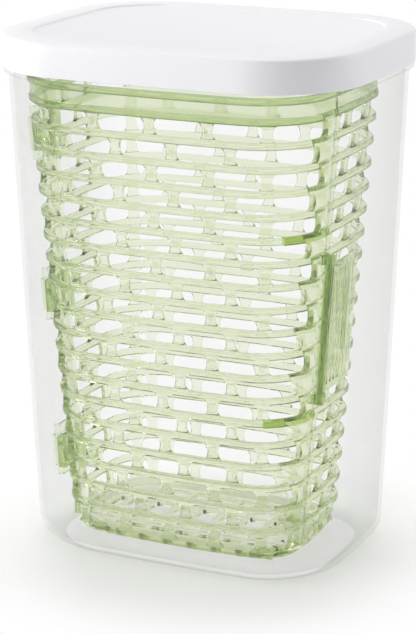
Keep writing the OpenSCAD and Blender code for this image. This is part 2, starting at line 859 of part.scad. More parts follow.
module door_right() {
  ear_seat_w = 2 * latch_barrel_r + bite;
  color([0.8, 0.88, 0.64, 0.85])
    in_place()
      union() {
        basket_panel(true, 2);
        for (side = [-1, 1])
          on_side(1, foot_z + latch_z)
            translate([seat_in, latch_y - ear_seat_w / 2,
                side * (latch_h / 2 + latch_fit + ear_h / 2) - ear_h / 2])
              cube([arm_in - seat_in, ear_seat_w, ear_h]);
      }
}

module door_floor() {
  color([0.8, 0.88, 0.64, 0.85])
    in_place()
      floor_half(true);
}

// A bar held at both ends by arms that reach forward from a plate behind the seam
module hinge_bar(i) {
  plate_y = seam_y + seam_gap / 2;
  color([0.88, 0.93, 0.78, 0.85])
    in_place()
      on_side(-1, hinge_z(i))
        union() {
          translate([arm_in, plate_y, -bar_h / 2])
            cube([plate_t, plate_w, bar_h]);
          for (side = [-1, 1])
            translate([arm_in, hinge_y, side * (bar_h - arm_h) / 2 - arm_h / 2])
              cube([axis_out - arm_in, plate_y + bite - hinge_y, arm_h]);
          translate([axis_out, hinge_y, -bar_h / 2])
            cylinder(d = bar_d, h = bar_h);
        }
}

// A clip that stands on its seat on the door and wraps the bar
module hinge_clip(i) {
  color([0.86, 0.92, 0.76, 0.85])
    in_place()
      on_side(-1, hinge_z(i))
        difference() {
          union() {
            translate([seat_out, hinge_y - clip_r, -clip_h / 2])
              cube([clip_r, 2 * clip_r, clip_h]);
            translate([axis_out, hinge_y, -clip_h / 2])
              cylinder(r = clip_r, h = clip_h);
          }
          translate([axis_out, hinge_y, -clip_h])
            cylinder(d = bar_d + 2 * bar_fit, h = 2 * clip_h);
        }
}

module hinge_bar_lower() { hinge_bar(0); }
module hinge_bar_middle() { hinge_bar(1); }
module hinge_bar_upper() { hinge_bar(2); }
module hinge_clip_lower() { hinge_clip(0); }
module hinge_clip_middle() { hinge_clip(1); }
module hinge_clip_upper() { hinge_clip(2); }

// The two ears that hold the latch pin on the door
module latch_bracket() {
  color([0.72, 0.83, 0.52, 0.9])
    in_place()
      on_side(1, foot_z + latch_z)
        difference() {
          for (side = [-1, 1])
            translate([arm_in, latch_y - latch_barrel_r,
                side * (latch_h / 2 + latch_fit + ear_h / 2) - ear_h / 2])
              cube([2 * latch_barrel_r, 2 * latch_barrel_r, ear_h]);
          translate([latch_out, latch_y, -latch_h])
            cylinder(d = latch_pin_d + 2 * bar_fit, h = 2 * latch_h);
        }
}

module latch_pin() {
  pin_l = latch_h + 2 * (latch_fit + ear_h);
  color([0.72, 0.83, 0.52])
    in_place()
      on_side(1, foot_z + latch_z)
        translate([latch_out, latch_y, -pin_l / 2])
          cylinder(d = latch_pin_d, h = pin_l);
}

// A plate on a barrel, with a lip that reaches in behind the catch
module latch_plate() {
  back_x = latch_face + latch_t;
  end_y = latch_y + latch_reach;
  lip_x = arm_in + arm_fit / 2;
  profile = [[latch_face, latch_y], [back_x, latch_y], [back_x, end_y], [lip_x, end_y],
    [lip_x, end_y - lip_w], [latch_face, end_y - lip_w]];
  color([0.66, 0.79, 0.44, 0.9])
    in_place()
      on_side(1, foot_z + latch_z)
        difference() {
          union() {
            translate([latch_out, latch_y, -latch_h / 2])
              cylinder(r = latch_barrel_r, h = latch_h);
            translate([0, 0, -latch_h / 2])
              linear_extrude(latch_h)
                polygon(profile);
          }
          translate([latch_out, latch_y, -latch_h])
            cylinder(d = latch_pin_d + 2 * bar_fit, h = 2 * latch_h);
        }
}

// The catch on the back part that the latch's lip reaches behind
module latch_catch() {
  color([0.72, 0.83, 0.52, 0.9])
    in_place()
      on_side(1, foot_z + latch_z)
        translate([arm_in, catch_y, -latch_h / 4])
          cube([catch_out - arm_in, catch_w, latch_h / 2]);
}

container();
container_floor();
basket_back();
basket_corner_left();
basket_corner_right();
basket_left();
basket_right();
basket_floor();
basket_door();
door_corner_left();
door_corner_right();
door_left();
door_right();
door_floor();
hinge_bar_lower();
hinge_bar_middle();
hinge_bar_upper();
hinge_clip_lower();
hinge_clip_middle();
hinge_clip_upper();
latch_bracket();
latch_pin();
latch_plate();
latch_catch();
lid_shell();
lid_liner();
lid_seal();
vent_slider();
filter_tray();
filter_pouch();
filter_cover();
filter_cover_pin();
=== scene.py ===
"""Dresses an upright produce keeper: clear container, slotted green basket and white lid."""
import logging
import math
from dataclasses import dataclass, field, replace
from enum import Enum

import bmesh
import bpy
from mathutils import Matrix, Vector


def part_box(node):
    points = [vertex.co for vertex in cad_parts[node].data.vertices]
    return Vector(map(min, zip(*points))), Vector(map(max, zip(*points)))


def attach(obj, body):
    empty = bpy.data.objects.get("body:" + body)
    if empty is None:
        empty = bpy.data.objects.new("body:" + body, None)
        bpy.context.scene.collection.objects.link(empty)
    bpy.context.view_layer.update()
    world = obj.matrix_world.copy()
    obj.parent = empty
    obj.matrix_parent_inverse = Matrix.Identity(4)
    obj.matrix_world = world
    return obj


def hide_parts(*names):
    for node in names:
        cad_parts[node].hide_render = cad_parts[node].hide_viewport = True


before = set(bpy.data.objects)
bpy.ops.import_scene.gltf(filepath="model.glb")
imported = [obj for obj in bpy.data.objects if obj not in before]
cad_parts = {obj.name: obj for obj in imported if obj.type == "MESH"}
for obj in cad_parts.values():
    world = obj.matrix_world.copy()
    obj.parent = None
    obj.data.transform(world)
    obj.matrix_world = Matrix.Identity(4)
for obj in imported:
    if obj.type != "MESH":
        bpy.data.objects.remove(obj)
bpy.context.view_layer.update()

# Lengths are in millimetres and angles in degrees, unless a name or a docstring says otherwise.
MM = 0.001
WELD = 0.01
FLAT_ANGLE = 1.0
BEVEL_ANGLE = 40.0
BEVEL_STEPS = 2
SMOOTH_ANGLE = 35.0
LOG = logging.getLogger("produce_keeper")

Point2 = tuple[float, float]
Point3 = tuple[float, float, float]
Colour = tuple[float, float, float, float]
Face = tuple[int, ...]

WHITE: Colour = (1.0, 1.0, 1.0, 1.0)
FLOAT = "NodeSocketFloat"
GEOMETRY = "NodeSocketGeometry"
MATERIAL = "NodeSocketMaterial"
TREE = "GeometryNodeTree"


class Side(Enum):
    """The two halves of the basket, in front of and behind its seam."""

    DOOR = -1
    BACK = 1


def tone(red: int, green: int, blue: int) -> Colour:
    """Turns a display colour of 0 to 255 into the linear colour that shaders take.

    Args:
        red: Red level.
        green: Green level.
        blue: Blue level.

    Returns:
        The linear colour with full alpha.
    """
    levels = [level / 255 for level in (red, green, blue)]
    linear = [v / 12.92 if v <= 0.04045 else ((v + 0.055) / 1.055) ** 2.4 for v in levels]
    return (linear[0], linear[1], linear[2], 1.0)


class Plan:
    """Adds nodes to a node tree and wires them."""

    def __init__(self, tree: bpy.types.NodeTree) -> None:
        """Takes the tree that the nodes go in."""
        self.tree = tree

    def wire(self, socket: bpy.types.NodeSocket, value: object) -> None:
        """Links a socket to another one, or sets its value."""
        if isinstance(value, bpy.types.NodeSocket):
            self.tree.links.new(value, socket)
        else:
            socket.default_value = value

    def node(self, kind: str, wires: dict[str, object] | None = None, **settings: object) -> bpy.types.Node:
        """Adds one node.

        Args:
            kind: Blender's name of the node type.
            wires: Values or sockets for its inputs, by input name.
            **settings: Properties of the node.

        Returns:
            The new node.
        """
        made = self.tree.nodes.new(kind)
        for key, value in settings.items():
            setattr(made, key, value)
        for name, value in (wires or {}).items():
            self.wire(next(s for s in made.inputs if s.name == name and s.enabled), value)
        return made

    def math(self, operation: str, *values: object) -> bpy.types.NodeSocket:
        """Adds a math node.

        Args:
            operation: Blender's name of the operation.
            *values: Its numbers or sockets.

        Returns:
            The socket with the result.
        """
        made = self.node("ShaderNodeMath", operation=operation)
        for socket, value in zip(made.inputs, values):
            self.wire(socket, value)
        return made.outputs[0]

    def blend(self, share: object, low: object, high: object) -> bpy.types.NodeSocket:
        """Goes from one number to another by a share from 0 to 1."""
        made = self.node("ShaderNodeMapRange", {"Value": share, "To Min": low, "To Max": high})
        return made.outputs[0]

    def named(self, name: str, data_type: str = "FLOAT") -> bpy.types.NodeSocket:
        """Reads an attribute of the geometry by its name."""
        made = self.node("GeometryNodeInputNamedAttribute", {"Name": name}, data_type=data_type)
        return next(s for s in made.outputs if s.enabled)

    def mix(self, share: object, low: object, high: object) -> bpy.types.NodeSocket:
        """Goes from one colour to another by a share from 0 to 1."""
        made = self.node("ShaderNodeMix", data_type="RGBA")
        inputs = [socket for socket in made.inputs if socket.enabled]
        for socket, value in zip(inputs, (share, low, high)):
            self.wire(socket, value)
        return next(socket for socket in made.outputs if socket.enabled)

    def store(self, geometry: object, name: str, value: object, domain: str,
              data_type: str = "FLOAT") -> bpy.types.NodeSocket:
        """Writes an attribute.

        Args:
            geometry: Socket with the geometry.
            name: Name of the attribute.
            value: Its value or the socket with it.
            domain: Blender's name of the domain.
            data_type: Blender's name of the data type.

        Returns:
            The socket with the geometry that carries it.
        """
        wires = {"Geometry": geometry, "Name": name, "Value": value}
        made = self.node("GeometryNodeStoreNamedAttribute", wires, domain=domain, data_type=data_type)
        return made.outputs[0]

    def realized(self, instances: object) -> bpy.types.NodeSocket:
        """Turns instances into plain geometry."""
        return self.node("GeometryNodeRealizeInstances", {"Geometry": instances}).outputs[0]

    def give(self, geometry: object, material: object) -> None:
        """Ends a geometry tree with its material and its output."""
        done = self.node("GeometryNodeSetMaterial", {"Geometry": geometry, "Material": material})
        self.node("NodeGroupOutput", {"Geometry": done.outputs[0]})


def new_tree(name: str, kind: str, inputs: dict[str, str], outputs: dict[str, str]) -> bpy.types.NodeTree:
    """Makes an empty node group with named sockets.

    Args:
        name: Name of the group.
        kind: Blender's name of the tree type.
        inputs: Socket types by input name.
        outputs: Socket types by output name.

    Returns:
        The node group.
    """
    tree = bpy.data.node_groups.new(name, kind)
    for sockets, way in ((inputs, "INPUT"), (outputs, "OUTPUT")):
        for socket_name, socket_type in sockets.items():
            tree.interface.new_socket(socket_name, in_out=way, socket_type=socket_type)
    return tree


def new_material(name: str) -> tuple[Plan, bpy.types.Node]:
    """Makes a material and gives a plan of its tree and its shader."""
    made = bpy.data.materials.new(name)
    made.use_nodes = True
    return Plan(made.node_tree), made.node_tree.nodes["Principled BSDF"]


@dataclass(frozen=True)
class MouldGrain:
    """The fine grain and slow flow marks of moulded plastic, shared by every finish."""

    name: str = "Mould grain"
    grain_detail: float = 2.0
    flow_detail: float = 3.0
    flow_bend: float = 0.6

    def group(self) -> bpy.types.NodeTree:
        """Builds the shader group once, and gives it back after that."""
        tree = bpy.data.node_groups.get(self.name)
        if tree:
            return tree
        inputs = {"Vector": "NodeSocketVector", "Grain Scale": FLOAT, "Flow Scale": FLOAT, "Roughness": FLOAT,
                  "Spread": FLOAT}
        outputs = {"Height": FLOAT, "Flow": FLOAT, "Roughness": FLOAT}
        tree = new_tree(self.name, "ShaderNodeTree", inputs, outputs)
        plan = Plan(tree)
        given = plan.node("NodeGroupInput").outputs
        grain = plan.node("ShaderNodeTexNoise", {"Vector": given["Vector"], "Scale": given["Grain Scale"],
                                                 "Detail": self.grain_detail})
        flow = plan.node("ShaderNodeTexNoise", {"Vector": given["Vector"], "Scale": given["Flow Scale"],
                                                "Detail": self.flow_detail, "Distortion": self.flow_bend})
        swing = plan.math("SUBTRACT", flow.outputs[0], 0.5)
        rough = plan.math("MULTIPLY_ADD", swing, given["Spread"], given["Roughness"])
        plan.node("NodeGroupOutput", {"Height": grain.outputs[0], "Flow": flow.outputs[0],
                                      "Roughness": rough})
        return tree


@dataclass(frozen=True)
class Plastic:
    """A moulded plastic: two near colours, gloss and grain, and how much shows through it."""

    name: str
    pale: Colour
    deep: Colour
    roughness: float
    spread: float = 0.08
    grain_scale: float = 900.0
    flow_scale: float = 14.0
    flow_share: float = 0.18
    bump: float = 0.05
    bump_depth: float = 0.0004
    facing_alpha: float = 1.0
    edge_alpha: float = 1.0
    edge_blend: float = 0.35
    glass: float = 0.0
    ior: float = 1.45
    depth_colour: Colour = WHITE
    depth_density: float = 0.0

    def material(self) -> bpy.types.Material:
        """Builds the material once, and gives it back after that.

        Returns:
            The material, whose colour goes deeper by the mesh's tint attribute.
        """
        found = bpy.data.materials.get(self.name)
        if found:
            return found
        plan, shader = new_material(self.name)
        spot = plan.node("ShaderNodeTexCoord").outputs["Object"]
        grain = plan.node("ShaderNodeGroup", node_tree=MouldGrain().group())
        marks = {"Vector": spot, "Grain Scale": self.grain_scale, "Flow Scale": self.flow_scale,
                 "Roughness": self.roughness, "Spread": self.spread}
        for name, value in marks.items():
            plan.wire(grain.inputs[name], value)
        # The tint attribute deepens the colour; on the basket it also holds painted shade on faces that look
        # down and on the posts' sides.
        tint = plan.node("ShaderNodeAttribute", attribute_name="tint").outputs["Fac"]
        share = plan.math("ADD", tint, plan.math("MULTIPLY", grain.outputs["Flow"], self.flow_share))
        plan.wire(shader.inputs["Base Color"], plan.mix(share, self.pale, self.deep))
        plan.wire(shader.inputs["Roughness"], grain.outputs["Roughness"])
        lift = plan.node("ShaderNodeBump", {"Height": grain.outputs["Height"], "Strength": self.bump,
                                            "Distance": self.bump_depth})
        plan.wire(shader.inputs["Normal"], lift.outputs[0])
        shader.inputs["Transmission Weight"].default_value = self.glass
        shader.inputs["IOR"].default_value = self.ior
        if self.depth_density > 0:
            depth = plan.node("ShaderNodeVolumeAbsorption")
            depth.inputs["Color"].default_value = self.depth_colour
            depth.inputs["Density"].default_value = self.depth_density
            plan.wire(plan.tree.nodes["Material Output"].inputs["Volume"], depth.outputs["Volume"])
        if self.facing_alpha < 1:
            facing = plan.node("ShaderNodeLayerWeight", {"Blend": self.edge_blend}).outputs["Facing"]
            plan.wire(shader.inputs["Alpha"], plan.blend(facing, self.facing_alpha, self.edge_alpha))
        return bpy.data.materials[self.name]


CLEAR = Plastic("clear_wall", tone(212, 214, 213), tone(202, 205, 204), 0.10, spread=0.04, bump=0.01,
                facing_alpha=0.022, edge_alpha=0.36, edge_blend=0.23)
GREEN = Plastic("basket_plastic", tone(252, 252, 246), tone(176, 200, 112), 0.12, spread=0.03, flow_share=0.1,
                bump=0.02, glass=1.0, ior=1.18, depth_colour=tone(206, 227, 128), depth_density=60.0)
LATCH_GREEN = Plastic("latch_plastic", tone(251, 253, 238), tone(172, 198, 112), 0.09, spread=0.03,
                      flow_share=0.1, bump=0.02, glass=0.95, ior=1.14, depth_colour=tone(195, 222, 112),
                      depth_density=28.0)
LID_WHITE = Plastic("lid_plastic", tone(243, 243, 246), tone(236, 236, 240), 0.38, bump=0.06)
LINER_WHITE = Plastic("liner_plastic", tone(236, 238, 238), tone(226, 229, 229), 0.5, bump=0.08)
SEAL = Plastic("seal_rubber", tone(222, 226, 226), tone(208, 213, 213), 0.62, bump=0.05)
TRIM = Plastic("trim_plastic", tone(176, 204, 118), tone(140, 176, 82), 0.42, bump=0.07)


@dataclass(frozen=True)
class Fabric:
    """A non-woven cloth: felted fibres that run every way, with a little sheen."""

    name: str
    pale: Colour
    deep: Colour
    fibre_scale: float = 700.0
    fibre_stretch: float = 9.0
    fibre_turns: tuple[float, ...] = (0.3, 1.4, 2.4)
    fibre_detail: float = 3.0
    fibre_low: float = 0.45
    fibre_high: float = 0.75
    bump: float = 0.5
    bump_depth: float = 0.0003
    sheen: float = 0.3
    roughness: float = 0.88

    def material(self) -> bpy.types.Material:
        """Builds the material once, and gives it back after that."""
        found = bpy.data.materials.get(self.name)
        if found:
            return found
        plan, shader = new_material(self.name)
        spot = plan.node("ShaderNodeTexCoord").outputs["Object"]
        felt: object = 0.0
        for turn in self.fibre_turns:
            laid = plan.node("ShaderNodeMapping", {"Vector": spot, "Rotation": (0.0, 0.0, turn),
                                                   "Scale": (1.0, self.fibre_stretch, 1.0)})
            fibre = plan.node("ShaderNodeTexNoise", {"Vector": laid.outputs[0], "Detail": self.fibre_detail,
                                                     "Scale": self.fibre_scale / self.fibre_stretch})
            felt = plan.math("MAXIMUM", fibre.outputs[0], felt)
        share = plan.node("ShaderNodeMapRange", {"Value": felt, "From Min": self.fibre_low,
                                                 "From Max": self.fibre_high}).outputs[0]
        plan.wire(shader.inputs["Base Color"], plan.mix(share, self.deep, self.pale))
        lift = plan.node("ShaderNodeBump", {"Height": felt, "Strength": self.bump,
                                            "Distance": self.bump_depth})
        plan.wire(shader.inputs["Normal"], lift.outputs[0])
        shader.inputs["Roughness"].default_value = self.roughness
        shader.inputs["Sheen Weight"].default_value = self.sheen
        return bpy.data.materials[self.name]


FELT = Fabric("filter_felt", tone(92, 95, 97), tone(38, 40, 42))


def rounded_outline(w: float, d: float, r: float, bow: float, corner_steps: int,
                    side_steps: int) -> list[Point2]:
    """Points of a rounded rectangle with bowed sides, counter-clockwise from its right side.

    Args:
        w: Width over the bows.
        d: Depth over the bows.
        r: Radius of the corners.
        bow: How far the sides bow out.
        corner_steps: Steps along each corner.
        side_steps: Steps along each side.

    Returns:
        The points.
    """
    a, b = w / 2 - bow, d / 2 - bow

    def bowed(x: float, y: float) -> Point2:
        """Moves a point out where its side bows."""
        out_x = bow * (1 - (y / b) ** 2) * abs(x / a) ** 3
        out_y = bow * (1 - (x / a) ** 2) * abs(y / b) ** 3
        return (x + math.copysign(out_x, x), y + math.copysign(out_y, y))

    arcs = []
    for q in range(4):
        mx = (a - r) * (1 if q in (0, 3) else -1)
        my = (b - r) * (1 if q < 2 else -1)
        turns = [math.pi / 2 * (q + i / corner_steps) for i in range(corner_steps + 1)]
        arcs.append([(mx + r * math.cos(t), my + r * math.sin(t)) for t in turns])
    points = []
    for q in range(4):
        (x0, y0), (x1, y1) = arcs[q][-1], arcs[(q + 1) % 4][0]
        points += [bowed(x, y) for x, y in arcs[q]]
        shares = [i / side_steps for i in range(1, side_steps)]
        points += [bowed(x0 + (x1 - x0) * s, y0 + (y1 - y0) * s) for s in shares]
    return points


def clipped(points: list[Point2], level: float, below: bool) -> list[Point2]:
    """The run of a closed outline on one side of a line of equal y.

    Args:
        points: The closed outline.
        level: Height of the line.
        below: Whether the run below the line is kept.

    Returns:
        The run, with its ends on the line.
    """
    def crossing(p: Point2, q: Point2) -> Point2:
        """The point of a segment on the line."""
        share = (level - p[1]) / (q[1] - p[1])
        return (p[0] + (q[0] - p[0]) * share, level)

    n = len(points)
    kept = [(p[1] < level) == below for p in points]
    i = next(i for i in range(n) if kept[i] and not kept[i - 1])
    run = [crossing(points[i - 1], points[i])]
    while kept[i % n]:
        run.append(points[i % n])
        i += 1
    run.append(crossing(points[(i - 1) % n], points[i % n]))
    return run


def new_mesh(name: str, points: list[Point3], edges: list[tuple[int, int]],
             faces: list[Face]) -> bpy.types.Mesh:
    """Makes a mesh from points in millimetres."""
    mesh = bpy.data.meshes.new(name)
    mesh.from_pydata([(x * MM, y * MM, z * MM) for x, y, z in points], edges, faces)
    return mesh


def linked(name: str, data: bpy.types.ID) -> bpy.types.Object:
    """Makes an object of a mesh, lamp or camera and puts it in the scene."""
    made = bpy.data.objects.new(name, data)
    bpy.context.collection.objects.link(made)
    return made


def slab_faces(rows: int, columns: int) -> list[Face]:
    """Faces of a closed slab whose two layers are grids of points, one row after another.

    Args:
        rows: Cells from the first row of points to the last.
        columns: Cells along a row.

    Returns:
        The faces of both layers and of the border between them.
    """
    n = columns + 1
    layer = (rows + 1) * n
    faces: list[Face] = []
    for i in range(rows):
        for j in range(columns):
            at = i * n + j
            quad = (at, at + 1, at + n + 1, at + n)
            faces += [quad, tuple(layer + v for v in reversed(quad))]
    steps = [(i * n + j, n) for i in range(rows) for j in (0, columns)]
    steps += [(i * n + j, 1) for i in (0, rows) for j in range(columns)]
    faces += [(at, at + step, layer + at + step, layer + at) for at, step in steps]
    return faces


def smooth(mesh: bpy.types.Mesh, angle: float) -> None:
    """Shades a mesh smooth, apart from edges sharper than an angle in degrees."""
    mesh.polygons.foreach_set("use_smooth", [True] * len(mesh.polygons))
    mesh.set_sharp_from_angle(angle=math.radians(angle))


def outward(mesh: bpy.types.Mesh) -> None:
    """Turns the faces of closed shells outwards."""
    work = bmesh.new()
    work.from_mesh(mesh)
    bmesh.ops.recalc_face_normals(work, faces=work.faces)
    work.to_mesh(mesh)
    work.free()


def loft(name: str, rings: list[tuple[list[Point2], float]], closed: bool = False) -> bpy.types.Mesh:
    """A closed surface through rings of equal count.

    Args:
        name: Name of the mesh.
        rings: Outlines with their heights, in millimetres.
        closed: Whether the last ring joins the first one, instead of both having caps.

    Returns:
        The mesh, with its faces outwards.
    """
    n = len(rings[0][0])
    last = len(rings) - 1
    points = [(x, y, z) for ring, z in rings for x, y in ring]
    faces = [(k * n + i, k * n + (i + 1) % n, (k + 1) * n + (i + 1) % n, (k + 1) * n + i)
             for k in range(last) for i in range(n)]
    if closed:
        faces += [(last * n + i, last * n + (i + 1) % n, (i + 1) % n, i) for i in range(n)]
    else:
        faces += [tuple(range(n)), tuple(last * n + i for i in range(n))]
    mesh = new_mesh(name, points, [], faces)
    outward(mesh)
    return mesh


def shaped(name: str, source: bpy.types.Mesh, tree: bpy.types.NodeTree,
           values: dict[str, object]) -> bpy.types.Mesh:
    """Runs a geometry tree on a mesh and keeps the result as a plain mesh.

    Args:
        name: Name of the result.
        source: The mesh that the tree starts from.
        tree: The geometry tree.
        values: Its inputs by name.

    Returns:
        The plain mesh.
    """
    maker = linked(name, source)
    modifier = maker.modifiers.new("shape", "NODES")
    modifier.node_group = tree
    for item in tree.interface.items_tree:
        if item.in_out == "INPUT" and item.name in values:
            modifier[item.identifier] = values[item.name]
    return plain(maker)


def plain(maker: bpy.types.Object) -> bpy.types.Mesh:
    """Keeps what an object's modifiers make as a plain mesh, and removes the object."""
    graph = bpy.context.evaluated_depsgraph_get()
    mesh = bpy.data.meshes.new_from_object(maker.evaluated_get(graph), preserve_all_data_layers=True,
                                           depsgraph=graph)
    bpy.data.objects.remove(maker, do_unlink=True)
    return mesh


def united(name: str, meshes: list[bpy.types.Mesh]) -> bpy.types.Mesh:
    """Fuses closed meshes into one shell without inner walls.

    Args:
        name: Name of the result.
        meshes: The meshes, each free of overlaps in itself.

    Returns:
        The fused mesh.
    """
    maker = linked(name, meshes[0])
    others = [linked(mesh.name, mesh) for mesh in meshes[1:]]
    for other in others:
        fuse = maker.modifiers.new("fuse", "BOOLEAN")
        fuse.operation = "UNION"
        fuse.solver = "MANIFOLD"
        fuse.object = other
    mesh = plain(maker)
    for other in others:
        bpy.data.objects.remove(other, do_unlink=True)
    mesh.name = name
    return mesh


def place(name: str, mesh: bpy.types.Mesh, body: str, finish: Plastic | Fabric,
          nodes: tuple[str, ...]) -> bpy.types.Object:
    """Puts a finished piece in the scene, on its body.

    Args:
        name: Name of the piece.
        mesh: Its mesh, in its place.
        body: The CAD body that it rides on.
        finish: Its finish.
        nodes: The CAD nodes that it stands for.

    Returns:
        The piece's object.
    """
    mesh.name = name
    mesh.materials.clear()
    mesh.materials.append(finish.material())
    piece = linked(name, mesh)
    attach(piece, body)
    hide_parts(*nodes)
    LOG.info("%s: %d faces on %s", name, len(mesh.polygons), body)
    return piece


def tinted(mesh: bpy.types.Mesh, tint: float) -> None:
    """Gives all faces of a mesh one tint."""
    found = mesh.attributes.get("tint") or mesh.attributes.new("tint", "FLOAT", "FACE")
    found.data.foreach_set("value", [tint] * len(mesh.polygons))


def merged(node: str) -> bpy.types.Mesh:
    """A copy of a CAD node's mesh with its flat faces joined up."""
    work = bmesh.new()
    work.from_mesh(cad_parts[node].data)
    bmesh.ops.remove_doubles(work, verts=work.verts, dist=WELD * MM)
    bmesh.ops.dissolve_limit(work, angle_limit=math.radians(FLAT_ANGLE), verts=work.verts, edges=work.edges)
    mesh = bpy.data.meshes.new(f"{node}_copy")
    work.to_mesh(mesh)
    work.free()
    return mesh


def soften(node: str, body: str, finish: Plastic, edge_r: float, tint: float = 0.0) -> None:
    """Puts a copy of a CAD node with rounded edges in its place.

    Args:
        node: The CAD node.
        body: The body that it rides on.
        finish: Its finish.
        edge_r: Width of the rounding.
        tint: Its tint.
    """
    maker = linked(f"{node}_maker", merged(node))
    bevel = maker.modifiers.new("edges", "BEVEL")
    bevel.width = edge_r * MM
    bevel.segments = BEVEL_STEPS
    bevel.limit_method = "ANGLE"
    bevel.angle_limit = math.radians(BEVEL_ANGLE)
    mesh = plain(maker)
    tinted(mesh, tint)
    smooth(mesh, SMOOTH_ANGLE)
    place(f"{node}_soft", mesh, body, finish, (node,))


def dress(node: str, finish: Plastic) -> None:
    """Gives a CAD node that keeps its own shape a finish."""
    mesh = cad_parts[node].data
    mesh.materials.clear()
    mesh.materials.append(finish.material())
    LOG.info("%s: own shape, %s", node, finish.name)


@dataclass
class Shell:
    """The outline that the container and the lid share, by height."""

    base_w: float = 177.0
    base_d: float = 128.0
    top_w: float = 189.0
    top_d: float = 155.0
    height: float = 256.5
    corner_r: float = 41.0
    bow: float = 2.8
    corner_steps: int = 22
    side_steps: int = 16

    def ring(self, z: float, inset: float) -> list[Point2]:
        """The outline at a height, drawn in by an inset."""
        share = min(z, self.height) / self.height
        w = self.base_w + (self.top_w - self.base_w) * share - 2 * inset
        d = self.base_d + (self.top_d - self.base_d) * share - 2 * inset
        return rounded_outline(w, d, self.corner_r - inset, self.bow, self.corner_steps, self.side_steps)


def bend(inset: float, z: float, r: float, start: float, end: float, steps: int) -> list[Point2]:
    """Points of a round in a wall's section.

    Args:
        inset: Inset of the round's middle.
        z: Height of the round's middle.
        r: Radius.
        start: First angle in degrees, 0 pointing outwards and 90 up.
        end: Last angle.
        steps: Number of steps.

    Returns:
        The points, as inset and height.
    """
    turns = [math.radians(start + (end - start) * i / steps) for i in range(steps + 1)]
    return [(inset - r * math.cos(t), z + r * math.sin(t)) for t in turns]


@dataclass
class Container:
    """The clear container: walls, flange under the lid and neck inside it."""

    shell: Shell = field(default_factory=Shell)
    wall: float = 2.0
    floor: float = 3.0
    edge_r: float = 13.5
    flange_t: float = 2.5
    flange_out: float = 2.6
    flange_r: float = 0.8
    neck_h: float = 10.5
    neck_step: float = 0.4
    neck_t: float = 1.8
    root_r: float = 0.6
    wall_shares: tuple[float, ...] = (0.3, 0.55, 0.8)
    edge_steps: int = 12
    lip_steps: int = 4
    neck_steps: int = 6
    root_steps: int = 3
    smooth_angle: float = 40.0

    def section(self) -> list[Point2]:
        """The wall's section from the base up outside and down inside, as inset and height."""
        top = self.shell.height
        low = top - self.flange_t
        lip = -self.flange_out + self.flange_r
        neck_r = self.neck_t / 2
        inner_r = self.edge_r - self.wall
        points = bend(self.edge_r, self.edge_r, self.edge_r, -90, 0, self.edge_steps)
        points += [(0.0, low * share) for share in self.wall_shares]
        points += bend(-self.root_r, low - self.root_r, self.root_r, 180, 90, self.root_steps)
        points += bend(lip, low + self.flange_r, self.flange_r, -90, 0, self.lip_steps)
        points += bend(lip, top - self.flange_r, self.flange_r, 0, 90, self.lip_steps)
        points += [(self.neck_step, top)]
        points += bend(self.neck_step + neck_r, top + self.neck_h - neck_r, neck_r, 0, 180, self.neck_steps)
        points += [(self.wall, low)]
        points += [(self.wall, low * share) for share in reversed(self.wall_shares)]
        points += bend(self.edge_r, self.floor + inner_r, inner_r, 0, -90, self.edge_steps)
        return points

    def build(self) -> None:
        """Builds the container and puts it in place."""
        rings = [(self.shell.ring(z, inset), z) for inset, z in self.section()]
        mesh = loft("container_wall", rings)
        smooth(mesh, self.smooth_angle)
        nodes = ("container", "container_floor")
        place("container_wall", mesh, "container_body", CLEAR, nodes)


@dataclass
class Lid:
    """The white lid and what sits under it."""

    shell: Shell = field(default_factory=Shell)
    height: float = 17.5
    skirt_t: float = 2.5
    grow: float = 2.8
    top_t: float = 2.2
    edge_r: float = 2.0
    rim_w: float = 15.0
    recess: float = 1.0
    foot_r: float = 0.5
    foot_steps: int = 3
    edge_drop: float = 0.5
    edge_turn: float = 75.0
    edge_steps: int = 8
    flat_w: float = 4.0
    lip_w: float = 0.3
    lip_drop: float = 0.1
    toe_w: float = 0.2
    smooth_angle: float = 30.0
    soft_r: float = 0.25

    def section(self) -> list[Point2]:
        """The cap's section from under its top, round the skirt and in to the sunk panel."""
        low = self.shell.height
        top = low + self.height
        inner = self.skirt_t - self.grow
        foot = low + self.foot_r
        panel = self.rim_w - self.grow
        sunk = top - self.recess
        edge_z = top - self.edge_r - self.edge_drop
        points = [(inner, sunk - self.top_t), (inner, foot)]
        points += bend(inner - self.foot_r, foot, self.foot_r, 180, 270, self.foot_steps)
        points += bend(self.foot_r - self.grow, foot, self.foot_r, -90, 0, self.foot_steps)
        points += bend(self.edge_r - self.grow, edge_z, self.edge_r, 0, self.edge_turn, self.edge_steps)
        points += [(panel - self.flat_w, top), (panel, top), (panel + self.lip_w, top - self.lip_drop)]
        toe = panel + self.recess
        return points + [(toe - self.toe_w, sunk + self.lip_drop), (toe + self.toe_w, sunk)]

    def build(self) -> None:
        """Builds the lid's cap and dresses the pieces under it."""
        ring = self.shell.ring
        mesh = loft("lid_cap", [(ring(self.shell.height, inset), z) for inset, z in self.section()])
        smooth(mesh, self.smooth_angle)
        place("lid_cap", mesh, "lid_body", LID_WHITE, ("lid_shell",))
        soften("lid_liner", "lid_body", LINER_WHITE, self.soft_r)
        soften("filter_tray", "lid_body", LINER_WHITE, self.soft_r)
        soften("vent_slider", "vent_body", TRIM, self.soft_r)
        soften("filter_cover", "filter_cover_body", TRIM, self.soft_r)
        dress("lid_seal", SEAL)
        dress("filter_cover_pin", LINER_WHITE)


